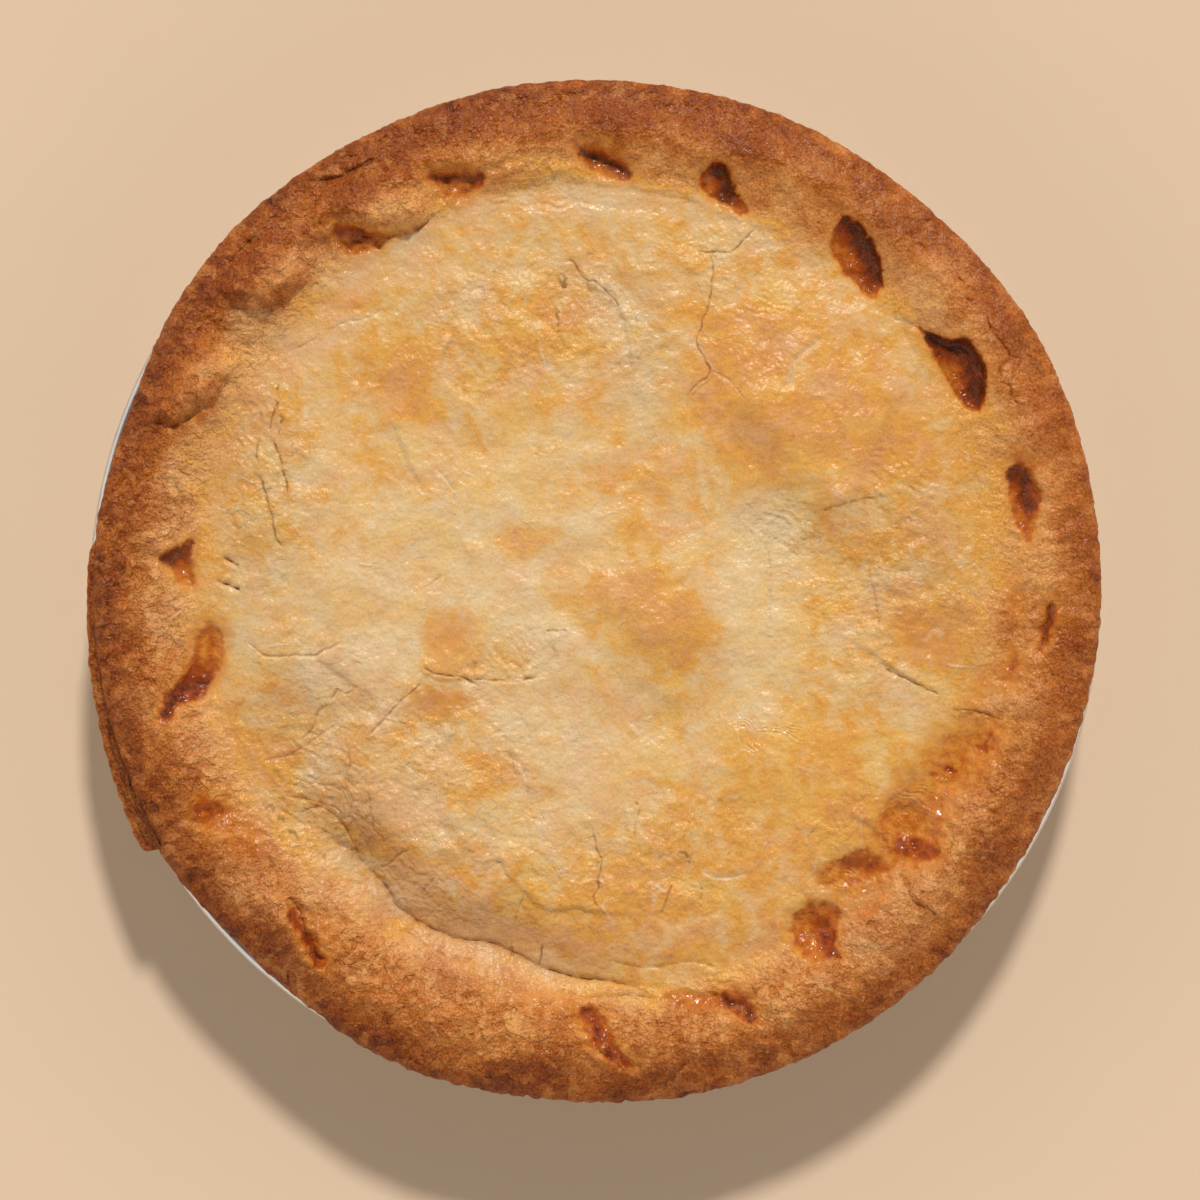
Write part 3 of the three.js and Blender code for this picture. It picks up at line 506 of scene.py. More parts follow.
# browner (+) and paler (-) patches of the rim [direction, radius, half angle, half width, strength]
MARKS = [
    (8, 102, 7, 4, -0.05), (33, 116.5, 4, 3, 0.05),
    (42, 113, 5, 5, -0.06), (52, 114, 4, 3.5, 0.07), (63, 113, 5, 5, -0.05), (71, 114, 4, 3.5, 0.07), (78, 108, 4, 5, -0.05),
    (86.5, 114, 4, 4, 0.06), (93, 101, 4, 3.5, -0.10), (100.5, 106.5, 5, 4, -0.12), (102.5, 115, 5, 4, 0.05), (112, 117, 6, 3.5, 0.06), (134, 115.5, 3, 3, 0.05), (80, 119, 6, 3, 0.05),
    (119, 105, 5.5, 3.5, -0.11), (120, 112.5, 4, 3.5, 0.04), (131, 100, 5, 3, -0.06), (135.5, 107, 4.5, 4, -0.09), (138, 114, 4, 3.5, 0.03),
    (145, 103, 4.5, 5, -0.12), (155.5, 107, 4.5, 3.5, -0.07), (156, 114.5, 4.5, 4, 0.05), (159, 119, 8, 3, 0.03), (165, 104, 5, 5, -0.10),
    (166, 115.5, 5, 4, 0.05), (177, 117, 5, 3.5, 0.05), (185, 111, 4, 4, 0.05), (184, 118, 6, 3, 0.06), (188.5, 105, 2.5, 3, -0.07),
    (200.5, 103, 5, 5, -0.06), (199, 116, 5, 3, 0.04), (206, 108, 3.5, 4, 0.04), (216.5, 109.5, 4.5, 4, -0.05), (213.5, 102.5, 4, 4, 0.06), (221, 119, 4, 3.5, 0.10),
    (227, 114, 4, 5, 0.05), (231, 102, 6, 4, -0.06), (236.5, 115, 3, 3.5, 0.08), (241, 107, 5, 5, -0.07), (243.5, 119, 4, 3, 0.07),
    (251, 115.5, 5, 3, -0.06), (253, 108, 6, 5, -0.07), (260.5, 118.5, 5, 4, 0.08), (260, 103, 6, 4, -0.06), (266, 114, 4, 6, 0.07),
    (273, 117, 5, 4, 0.02), (277.5, 106, 3, 5, -0.08), (283, 116, 4, 4, 0.06), (285, 110, 3, 4, -0.07), (278, 98, 5, 3, -0.10),
    (296.5, 110, 5, 4, -0.06), (301, 118.5, 7, 3, 0.03), (309, 111, 5, 4, -0.07), (311, 119, 4, 3, 0.05), (317, 106, 5, 4, -0.06),
    (320, 118, 5, 3.5, 0.06), (326.5, 114, 3.5, 4.5, 0.05), (328, 105, 5, 4, -0.11), (338, 115, 4, 4.5, 0.12), (334, 109, 3, 4, 0.02),
    (343, 104, 4, 5, -0.06), (348, 110, 4, 4, -0.04), (354, 113, 5, 6, 0.07),
]
# the same for the belt where lid and rim meet
TRIMS = [
    (9, 95, 12, 7, -0.10), (66, 99, 10, 4, 0.10), (93, 98.5, 13, 4.5, -0.12), (124, 98, 12, 4.5, -0.10), (158, 93, 8, 4, 0.08),
    (170, 105, 6, 4, 0.07), (169, 116.5, 6, 3, -0.09), (182, 96, 7, 6, -0.08), (194, 99, 6, 4, 0.06), (228, 105, 18, 4, 0.035),
    (255, 93, 6, 4, 0.04), (253, 111, 6, 4, 0.03), (277, 96, 7, 5, -0.06), (277, 108, 6, 5, 0.05), (302, 99, 6, 4, 0.08), (317, 99, 12, 4, 0.04),
    (338, 105, 6, 4, 0.06), (339, 116.5, 7, 3, -0.09), (351, 112, 7, 5, 0.07),
    # the last three rows darken the undersides of the rim's lobes: painted shade, with some browning
    (136, 103.5, 5, 3.6, 0.16), (153.5, 104.5, 5, 3.6, 0.12), (117, 101, 4, 2.6, 0.08),
]


def edge_radius(deg):
    r = np.full_like(deg, CRUST_R)
    for n, amp, phase in EDGE_WAVES:
        r = r + amp * np.cos(np.radians(n * deg - phase))
    for at, half, depth in EDGE_DENTS:
        r = r - depth * np.exp(-(turn_between(deg, at) / half) ** 4)
    return r - FLAP_SETBACK * on_flap(deg)


def ragged(deg):
    """Fine unevenness of the edge, repeating round the circle."""
    a = np.radians(deg)
    x, y = np.cos(a) * 40, np.sin(a) * 40
    rough = 0.26 + 0.26 * np.exp(-(turn_between(deg, 262) / 26) ** 2) + 0.12 * np.exp(-(turn_between(deg, 318) / 16) ** 2)
    return rough * (1.1 * noise(x, y, 501) + 0.8 * noise(x * 2.7, y * 2.7, 502) + 0.35 * noise(x * 6.1, y * 6.1, 503))


def on_flap(deg):
    d = deg % 360
    return ease((d - FLAP_FROM) / 5) * (1 - ease((d - FLAP_TO + 1.2) / 1.2))


def flap_radius(deg):
    t = np.clip(((deg % 360) - FLAP_FROM) / (FLAP_TO - FLAP_FROM), 0, 1)
    out = FLAP_R0 + (FLAP_R1 - FLAP_R0) * t ** 1.6
    inner = edge_radius(deg) - 0.5
    return inner + (out - inner) * on_flap(deg)


def within(points, x, y, reach, seed, wander=0.25):
    """Points in or near a closed outline: indices and distance outside it (negative inside)."""
    line = smooth_line(list(points) + [points[0]], 0.7, wander, seed)
    line[-1] = line[0]
    lo, hi = line.min(0) - reach, line.max(0) + reach
    idx = np.nonzero((x > lo[0]) & (x < hi[0]) & (y > lo[1]) & (y < hi[1]))[0]
    px, py = x[idx], y[idx]
    best = np.full(len(idx), 1e9)
    inside = np.zeros(len(idx), bool)
    for (ax, ay), (bx, by) in zip(line[:-1], line[1:]):
        dx, dy = bx - ax, by - ay
        t = np.clip(((px - ax) * dx + (py - ay) * dy) / max(dx * dx + dy * dy, 1e-12), 0, 1)
        best = np.minimum(best, np.hypot(px - ax - t * dx, py - ay - t * dy))
        if ay != by:
            cross = ((ay > py) != (by > py)) & (px < (bx - ax) * (py - ay) / (by - ay) + ax)
            inside ^= cross
    return idx, np.where(inside, -best, best)


def crust(x, y):
    """Height and looks of the crust's upper face at points (x, y)."""
    r = np.hypot(x, y)
    deg = np.degrees(np.arctan2(y, x)) % 360
    edge = edge_radius(deg) + ragged(deg)
    inset = edge - r
    rim = span(93, 103, r)
    lid = 1 - rim
    crease_shade, flour, ash, flank_browning_and_shade = np.zeros_like(x), np.zeros_like(x), np.zeros_like(x), np.zeros_like(x)
    amber, burn_and_pit_shadow = np.zeros_like(x), np.zeros_like(x)

    # the broad form
    z = MID_Z + DOME_RISE * (1 - ease(r / DOME_R))
    z = z + CREST_RISE * np.exp(-((inset - ROLL_W) / CREST_W) ** 2)
    z = z - 0.9 * np.exp(-((r - 95) / 6.5) ** 2) * (1 - 1.2 * np.exp(-(turn_between(deg, 92) / 22) ** 2))
    for cx, cy, a, b, turn, h in SWELLS:
        z = z + h * np.exp(-oval(x, y, cx, cy, a, b, turn))
    for at, cr, long, wide, turn, h in FOLDS:
        cx, cy = cr * math.cos(math.radians(at)), cr * math.sin(math.radians(at))
        z = z + h * np.exp(-oval(x, y, cx, cy, long / 2, wide / 2, at - 90 + turn))
    for at, cr, long, wide, turn, h in CRIMPS:
        cx, cy = cr * math.cos(math.radians(at)), cr * math.sin(math.radians(at))
        z = z - h * np.exp(-oval(x, y, cx, cy, long / 2, wide / 2, at - 90 - turn))
    for u, v, a, b, turn, h, tint in BLISTERS:
        cx, cy = pt(u, v)
        q = oval(x + 0.9 * fbm(x / 3.2, y / 3.2, 2, 15), y + 0.9 * fbm(x / 3.2, y / 3.2, 2, 16), cx, cy, a / UNIT, b / UNIT, turn)
        lump = np.exp(-q ** 1.25)
        z = z + h * lump
        ash = np.maximum(ash, tint * lump)

    # the groove at the lower left, with painted shade along its bottom
    line = smooth_line(GROOVE, 1.0, 0.25, 70)
    idx, d, side, place = beside(line, x, y, 30.0)
    fade = ends(place, 0.3)
    z[idx] -= 4.6 * fade * np.where(side > 0, np.exp(-(d / 8.2) ** 2), np.exp(-(d / 6.0) ** 2))
    z[idx] -= 0.5 * fade * np.exp(-(d / 0.8) ** 2)
    # painted shade at the bottom of the groove
    crease_shade[idx] = np.maximum(crease_shade[idx], 0.35 * fade * np.exp(-(d / 0.7) ** 2))

    # rounded folds and sharp lips, with painted shade on the big folds' flanks and in the crease at each lip's foot
    for k, (points, h, wide, back) in enumerate(LIPS):
        line = smooth_line(points, 0.6, 0.22, 100 + k)
        idx, d, side, place = beside(line, x, y, wide + back * 2.6)
        s = d * side
        if h > 2 and wide < 5:
            s = s + 1.5 * fbm(x[idx] / 4.5, y[idx] / 4.5, 2, 47)
        fade = ends(place, 0.25)
        u = np.clip((s + 0.25) / wide, 0, 1)
        rise = ease(u) if wide >= 5 else np.sqrt(np.maximum(0, 1 - (1 - u) ** 2))
        z[idx] += h * fade * rise * np.exp(-np.maximum(s - wide, 0) / back)
        if h > 2 and wide < 5:
            # painted shade, with some browning, on the shaded flank below the big folds
            flank_browning_and_shade[idx] = np.maximum(flank_browning_and_shade[idx], 0.08 * fade * np.exp(-((s - 1.3) / 1.8) ** 2))
        if wide < 5:
            # painted shade in the crease at the lip's foot
            crease_shade[idx] = np.maximum(crease_shade[idx], min(0.45, 0.17 * h) * fade * np.exp(-((s + 0.3) / 0.45) ** 2))

    # lumps and wrinkles
    wx = x + 4.0 * fbm(x / 15, y / 15, 2, 11)
    wy = y + 4.0 * fbm(x / 15, y / 15, 2, 23)
    crinkle = 0.62 * np.abs(noise(wx / 6.4, wy / 6.4, 53)) ** 0.8 + 0.34 * np.abs(noise(wx / 3.0, wy / 3.0, 57)) ** 0.9
    flaky = np.zeros_like(x)
    for u, v, a, b, turn, h in FLAKY:
        cx, cy = pt(u, v)
        flaky = np.maximum(flaky, h * np.exp(-oval(wx, wy, cx, cy, a / UNIT, b / UNIT, turn) ** 1.5))
    flaky = flaky * (0.55 + 0.45 * span(-0.25, 0.25, fbm(x / 11, y / 11, 2, 29)))
    z = z + lid * (0.95 * fbm(wx / 14, wy / 14, 2, 31) + (0.42 + 0.80 * flaky) * (0.95 * (crinkle - 0.3) + 0.42 * fbm(wx / 4.2, wy / 4.2, 2, 37)))
    z = z + rim * (0.95 * fbm(wx / 8, wy / 8, 3, 41) + 0.75 * (crinkle - 0.3) + 0.42 * fbm(wx / 3.0, wy / 3.0, 2, 43))
    rugged = rim * (1 - 0.85 * np.exp(-(turn_between(deg, 38) / 66) ** 2))
    folds = np.abs(noise(wx / 4.2, wy / 4.2, 61)) ** 0.8
    z = z + rugged * (0.85 * (folds - 0.3) + 0.35 * noise(wx / 2.4, wy / 2.4, 63))
    z = z + 0.08 * noise(x / 1.5, y / 1.5, 59)
    win = np.exp(-(turn_between(deg, 140) / 27) ** 2) * span(97, 103, r) * (1 - span(114, 120, r))
    z = z + win * (0.75 * fbm(wx / 4.0, wy / 4.0, 2, 45) + 0.20 * np.sin(np.radians(deg) * 108 * 2 * math.pi / 3.6 + 4.5 * fbm(x / 6, y / 6, 2, 49)))

    fx = x + 2.6 * fbm(x / 5, y / 5, 3, 311) + 3.0 * fbm(x / 16, y / 16, 2, 313)
    fy = y + 2.6 * fbm(x / 5, y / 5, 3, 317) + 3.0 * fbm(x / 16, y / 16, 2, 319)
    big, tear = flakes(fx, fy, (12.0, 9.0), 331)
    small, _ = flakes(fx, fy, (4.8, 4.0), 341)
    hue, _ = flakes(fx + 2.0, fy - 1.0, (7.5, 6.0), 351)
    big, small, hue = big - 0.5, small - 0.5, hue - 0.5
    scaly = 0.35 + 0.65 * flaky
    z = z + lid * scaly * (0.20 * big + 0.10 * small)
    torn = lid * span(0.0, 0.45, fbm(x / 13, y / 13, 2, 361) + 0.28 * flaky) * span(-0.2, 0.35, noise(x / 4.5, y / 4.5, 363))
    chunk, seam = flakes(x + 2.2 * fbm(x / 4, y / 4, 3, 371), y + 2.2 * fbm(x / 4, y / 4, 3, 373), (9.0, 7.0), 381)
    chunk = (chunk - 0.5) * rim * (1 - 0.85 * np.exp(-(turn_between(deg, 48) / 36) ** 2))
    z = z + 0.7 * chunk * span(0.0, 1.2, np.abs(seam))
    torn = torn * (rim < 0.5)
    torn = torn * (1 - span(0.9, 1.7, np.abs(tear)))

    # fine wrinkles of the skin, as a phase and a strength
    ripple = (0.35 * x + 0.94 * y + 3.0 * fbm(x / 9, y / 9, 2, 67)) * 2 * math.pi / 2.3
    rippled = 0.55 * flaky * span(-0.05, 0.3, fbm(x / 8, y / 8, 2, 69))
    for u, v, a, b, turn, kx, ky, wave, bend, strength in RIPPLES:
        cx, cy = pt(u, v)
        win = strength * np.exp(-oval(x, y, cx, cy, a / UNIT, b / UNIT, turn) ** 2)
        ripple = np.where(win > rippled, (kx * x + ky * y + bend * fbm(x / 7, y / 7, 2, 71)) * 2 * math.pi / wave, ripple)
        rippled = np.maximum(rippled, win)
    ripple = ripple + 1.5 * noise(x / 2.6, y / 2.6, 75)
    rippled = rippled * lid * span(-0.3, 0.3, noise(x / 3.3, y / 3.3, 77))

    # cracks, darkened along their lines with painted shade
    slit, slit_shade = np.full_like(x, 3.0), np.zeros_like(x)
    for k, (points, depth, half, dark) in enumerate(CREASES):
        line = smooth_line(points, 0.45, 0.3, 300 + 3 * k)
        idx, d, side, place = beside(line, x, y, 3.2)
        along = place * len(line) * 0.45
        fade = ends(place, 0.10) * (0.55 + 0.45 * span(-0.35, 0.25, noise(along / 2.6, along * 0 + k, 95)))
        w = half * (0.8 + 0.4 * noise(along / 1.7, along * 0 + k, 91))
        z[idx] -= depth * fade * np.exp(-np.abs(d / w) ** 1.5)
        z[idx] += 0.22 * depth * fade * np.exp(-((d - 1.3) / 0.9) ** 2)
        nearer = d < np.abs(slit[idx])
        slit[idx] = np.where(nearer, d * np.where(side < 0, -1.0, 1.0), slit[idx])
        slit_shade[idx] = np.where(nearer, dark * fade * (1 - span(1.0, 1.7, d)), slit_shade[idx])
        if dark < 0.3:
            flour[idx] = np.maximum(flour[idx], 0.8 * fade * np.exp(-(d / 0.9) ** 2))

    # pits: a sunk, glazed floor, darkest along the shaded side, where painted shadow deepens the dark glaze
    jx = x + 0.55 * fbm(x / 2.4, y / 2.4, 3, 81)
    jy = y + 0.55 * fbm(x / 2.4, y / 2.4, 3, 83)
    for k, (outline, shaded, depth, dark, far, rest, amb, blur) in enumerate(PITS):
        more = 0.9 * blur
        idx, d = within(outline, jx + more * (jx - x), jy + more * (jy - y), 3.2 + 1.6 * blur, 700 + k)
        d = d + (0.25 + 0.9 * blur) * fbm(x[idx] / 2.6, y[idx] / 2.6, 3, 97)
        floor = 1 - span(-blur, 0.6 * blur, d)
        if blur > 1:
            floor = floor * np.clip(0.92 + 0.6 * fbm(x[idx] / 3.2, y[idx] / 3.2, 3, 89), 0, 1)
        z[idx] -= depth * (1 - span(-1.3 - blur, 0.2 + 0.3 * blur, d))
        line = smooth_line(shaded, 0.6)
        from_dark = np.full(len(idx), 1e9)
        for (ax, ay), (bx, by) in zip(line[:-1], line[1:]):
            t = np.clip(((jx[idx] - ax) * (bx - ax) + (jy[idx] - ay) * (by - ay)) / max((bx - ax) ** 2 + (by - ay) ** 2, 1e-12), 0, 1)
            from_dark = np.minimum(from_dark, np.hypot(jx[idx] - ax - t * (bx - ax), jy[idx] - ay - t * (by - ay)))
        # dark glaze plus painted shadow, strongest along the shaded side
        shade = rest + (dark - rest) * np.exp(-(from_dark / (far / UNIT)) ** (3 if blur < 1 else 1.8))
        shade = shade - 0.04 + 0.26 * noise(x[idx] / 1.9, y[idx] / 1.9, 87)
        took = amb * floor
        burn_and_pit_shadow[idx] = np.where(took > amber[idx] * 0.6, np.maximum(burn_and_pit_shadow[idx] * (1 - floor), shade * floor + burn_and_pit_shadow[idx] * (1 - floor)), burn_and_pit_shadow[idx])
        amber[idx] = np.maximum(amber[idx], np.maximum(took, 0.55 * amb * (1 - span(-0.4, 1.4 + 1.5 * blur, d))))
        z[idx] += 0.16 * floor * noise(x[idx] / 1.3, y[idx] / 1.3, 85)
    for u, v, a, b, turn, taper, dark, amb in SPOTS:
        cx, cy = pt(u, v)
        c, s = math.cos(math.radians(turn)), math.sin(math.radians(turn))
        p = ((jx - cx) * c + (jy - cy) * s) / (a / UNIT)
        q = (-(jx - cx) * s + (jy - cy) * c) / (b / UNIT * np.clip(1 + taper * p, 0.2, 2))
        d = np.sqrt(p * p + q * q)
        took = amb * (1 - span(0.45, 1.3, d))
        burn_and_pit_shadow = np.where(took > amber, np.maximum(burn_and_pit_shadow, dark), burn_and_pit_shadow)
        amber = np.maximum(amber, took)

    # browning: pale lid, rim deepening to its edge, left and lower sides darkest
    jr = r + 2.0 * fbm(x / 8, y / 8, 3, 201) + 0.8 * noise(x / 2.4, y / 2.4, 203)
    top_side = np.exp(-(turn_between(deg, 95) / 62) ** 2)
    low_side = np.exp(-(turn_between(deg, 245) / 50) ** 2)
    left_side = np.exp(-(turn_between(deg, 178) / 27) ** 2)
    right_side = np.exp(-(turn_between(deg, 352) / 28) ** 2)
    soft = 11.0 - 7.5 * top_side + 3.0 * low_side + 4.0 * left_side + 6.0 * right_side
    start = 98.0 - 2.0 * low_side - 5.5 * left_side - 6.5 * right_side - 3.0 * np.exp(-(turn_between(deg, 250) / 30) ** 2)
    on_rim = span(start - soft / 2, start + soft / 2 + 2.5, jr)
    lid_level = 0.235 + 0.09 * fbm(x / 24, y / 24, 2, 211) + 0.20 * fbm(wx / 8, wy / 8, 3, 213) + 0.12 * fbm(wx / 2.6, wy / 2.6, 2, 215) + 0.06 * (crinkle - 0.3) + scaly * (0.15 * big + 0.13 * small)
    bx = x + 2.5 * fbm(x / 7, y / 7, 3, 221)
    by = y + 2.5 * fbm(x / 7, y / 7, 3, 227)
    for u, v, a, b, turn, h in PATCHES:
        cx, cy = pt(u, v)
        lump = np.exp(-oval(bx, by, cx, cy, a / UNIT, b / UNIT, turn) ** 1.4)
        if h > 0:
            lid_level = lid_level + h * lump
        else:
            lid_level = lid_level + 0.9 * h * lump
            flour = np.maximum(flour, -h * 3.2 * lump * (0.8 + 0.6 * fbm(x / 3.5, y / 3.5, 2, 231)))
    for k, (outline, edge_soft, h) in enumerate(GOLD):
        idx, d = within(outline, bx, by, edge_soft + 1, 800 + k)
        lid_level[idx] += h * (1 - span(-edge_soft, edge_soft, d))
    lid_level = lid_level + 0.045 * np.tanh((lid_level - 0.27) / 0.04)
    lid_level = np.minimum(lid_level, 0.50 + 0.2 * np.maximum(0, lid_level - 0.50))
    veins = np.clip(1 - np.abs(fbm(wx / 13, wy / 13, 3, 241)) * 7, 0, 1) * span(0.0, 0.35, fbm(x / 24, y / 24, 2, 243) + 0.15)
    flour = np.maximum(flour, 0.42 * veins * lid * (1 - span(0.34, 0.46, lid_level)))
    shade = (0.05 * np.cos(np.radians(deg - 145)) + 0.03 * top_side + 0.05 * np.exp(-(turn_between(deg, 168) / 20) ** 2) + 0.035 * np.exp(-(turn_between(deg, 232) / 24) ** 2)) * span(100, 112, r) + 0.03 * fbm(x / 14, y / 14, 2, 251)
    mottle = 0.085 * fbm(wx / 5.5, wy / 5.5, 3, 253) + (0.11 - 0.05 * np.exp(-(turn_between(deg, 132) / 34) ** 2)) * fbm(x / 13, y / 13, 2, 257)
    inner = 1 - span(104, 114, r)
    shift = 0.06 * np.exp(-(turn_between(deg, 338) / 30) ** 2) + 0.085 * np.exp(-(turn_between(deg, 252) / 46) ** 2)
    shift = shift - 0.11 * np.exp(-(turn_between(deg, 157) / 30) ** 2) - 0.09 * np.exp(-(turn_between(deg, 32) / 22) ** 2)
    rim_level = 0.59 + 0.235 * span(103, 122, jr) + shift * (0.25 + 0.75 * inner) + shade + mottle + 0.06 * ash + flank_browning_and_shade + 0.08 * chunk - 0.09 * rugged * (folds - 0.3)
    bdeg, br = np.degrees(np.arctan2(by, bx)) % 360, np.hypot(bx, by)
    for at, cr, half, deep, h in MARKS:
        rim_level = rim_level + h * np.exp(-((turn_between(bdeg, at) / half) ** 2 + ((br - cr) / deep) ** 2) ** 1.3)
    rim_level = rim_level - 0.5 * np.maximum(0, rim_level - 0.84)
    lid_level = lid_level + 0.08 * np.exp(-(turn_between(deg, 275) / 65) ** 2) * span(78, 94, r) + 0.06 * np.exp(-(turn_between(deg, 142) / 26) ** 2) * span(82, 92, r)
    lid_level = lid_level + 0.07 * np.exp(-(turn_between(deg, 228) / 30) ** 2) * span(64, 82, r)
    golden = 0.085 * np.exp(-(turn_between(bdeg, 317) / 17) ** 2) * span(80, 89, br) * (1 - span(97, 103, br))
    level = lid_level + (rim_level - lid_level) * on_rim + golden
    for at, cr, half, deep, h in TRIMS:
        level = level + h * np.exp(-((turn_between(bdeg, at) / half) ** 2 + ((br - cr) / deep) ** 2) ** 1.3)
    flour = flour * (1 - on_rim)

    # duller tone, with painted shade under the rim's lobes
    dull_and_shade = np.zeros_like(x)
    for u, v, a, b, turn, h in DULL_AND_SHADE:
        cx, cy = pt(u, v)
        dull_and_shade = dull_and_shade + h * np.exp(-oval(bx, by, cx, cy, a / UNIT, b / UNIT, turn) ** 1.2)
    gloss = np.zeros_like(x)
    for u, v, a, b, turn, h in SHINY:
        cx, cy = pt(u, v)
        gloss = np.maximum(gloss, h * np.exp(-oval(bx, by, cx, cy, a / UNIT, b / UNIT, turn) ** 1.5))
    strata = 1 - span(2.0, 6.5, inset + 1.5 * fbm(x / 6, y / 6, 2, 283))

    # pinker (+) and yellower (-) skin
    tone = 1.4 * fbm(wx / 11, wy / 11, 3, 271) + 0.6 * hue + 0.4 * fbm(x / 2.8, y / 2.8, 2, 273)
    tone = tone + 0.6 * np.exp(-(turn_between(deg, 145) / 42) ** 2) * span(84, 94, r) * (1 - span(107, 114, r))
    for u, v, a, b, turn, h in HUES:
        cx, cy = pt(u, v)
        tone = tone + h * np.exp(-oval(bx, by, cx, cy, a / UNIT, b / UNIT, turn) ** 1.4)

    # the edge rolls over to its widest line
    t = np.clip(1 - np.maximum(inset, 0) / ROLL_W, 0, 1)
    low = EDGE_Z + 0.5 * noise(np.cos(np.radians(deg)) * 9, np.sin(np.radians(deg)) * 9, 261)
    z = np.where(inset < ROLL_W, low + (z - low) * np.sqrt(np.maximum(0, 1 - t ** 2.3)), z)
    return z, {"brown": level, "amber": amber, "burn_and_pit_shadow": np.clip(burn_and_pit_shadow, 0, 1.1), "crease_shade": crease_shade, "flour": np.clip(flour, 0, 1), "ash": ash,
               "tone": np.clip(tone, -1, 1), "flaky": flaky * (1 - on_rim), "rimmed": on_rim, "dull_and_shade": dull_and_shade * (1 - on_rim),
               "strata": strata, "gloss": gloss, "tear": tear, "torn": torn, "ripple": ripple, "rippled": rippled, "slit": slit, "slit_shade": slit_shade,
               "crumbly": on_rim * span(-0.15, 0.25, fbm(x / 9, y / 9, 2, 277)), "rugged": rugged}


# ------------------------------------------------------------ the crust mesh
ROUND = 840                       # points round the edge
MAP_MIDDLE, MAP_SCALE = np.array((0.37, 0.37)), 0.36 / 130   # the upper face on the flat map, per mm
BENEATH = {"rimmed": 1.0, "strata": 0.7, "crumbly": 0.5, "rugged": 0.7, "slit": 3.0}   # looks of the underside
LID_STEP, RIM_STEP = 0.93, 0.76   # spacing of the upper face's points


def crust_points():
    """Points of the upper face inside the edge band, closer on the rim and along cracks."""
    fine = []
    for k, (points, depth, half, dark) in enumerate(CREASES):
        line = smooth_line(points, 0.45, 0.3, 300 + 3 * k)
        tangent = np.gradient(line, axis=0)
        normal = np.c_[-tangent[:, 1], tangent[:, 0]] / np.maximum(np.hypot(*tangent.T), 1e-9)[:, None]
        for off in (0, -0.9, 0.9, -1.9, 1.9):
            fine.append(line + normal * off * half)
    for k, (points, h, wide, back) in enumerate(LIPS):
        line = smooth_line(points, 0.6, 0.22, 100 + k)
        tangent = np.gradient(line, axis=0)
        normal = np.c_[-tangent[:, 1], tangent[:, 0]] / np.maximum(np.hypot(*tangent.T), 1e-9)[:, None]
        for off in (-0.45, 0.0, 0.45):
            fine.append(line + normal * off)
    fine = np.vstack(fine)
    keep, seen = [], set()
    for i, (a, b) in enumerate(fine):
        key = (round(a / 0.24), round(b / 0.24))
        if key not in seen:
            seen.add(key)
            keep.append(i)
    fine = fine[keep]

    def lattice(step):
        n = int(126 / (step * 0.866)) + 1
        rows = np.arange(-n, n + 1)
        cols = np.arange(-int(126 / step) - 1, int(126 / step) + 2)
        cc, rr = np.meshgrid(cols, rows)
        gx = (cc + 0.5 * (rr % 2)) * step
        gy = rr * step * 0.866
        return np.c_[gx.ravel(), gy.ravel()]

    lid = lattice(LID_STEP)
    lid = lid[np.hypot(*lid.T) < 94.0]
    rim = lattice(RIM_STEP)
    rr = np.hypot(*rim.T)
    rim = rim[(rr >= 94.0 + 0.5 * RIM_STEP) & (rr < 125)]
    coarse = np.vstack([lid, rim])
    coarse = coarse + 0.12 * LID_STEP * np.c_[noise(coarse[:, 0] * 3.1, coarse[:, 1] * 3.1, 901), noise(coarse[:, 0] * 3.1, coarse[:, 1] * 3.1, 902)]
    tree = KDTree(len(fine))
    for i, (a, b) in enumerate(fine):
        tree.insert((a, b, 0), i)
    tree.balance()
    far = np.array([tree.find((a, b, 0))[2] > 0.42 for a, b in coarse])
    return np.vstack([coarse[far], fine])


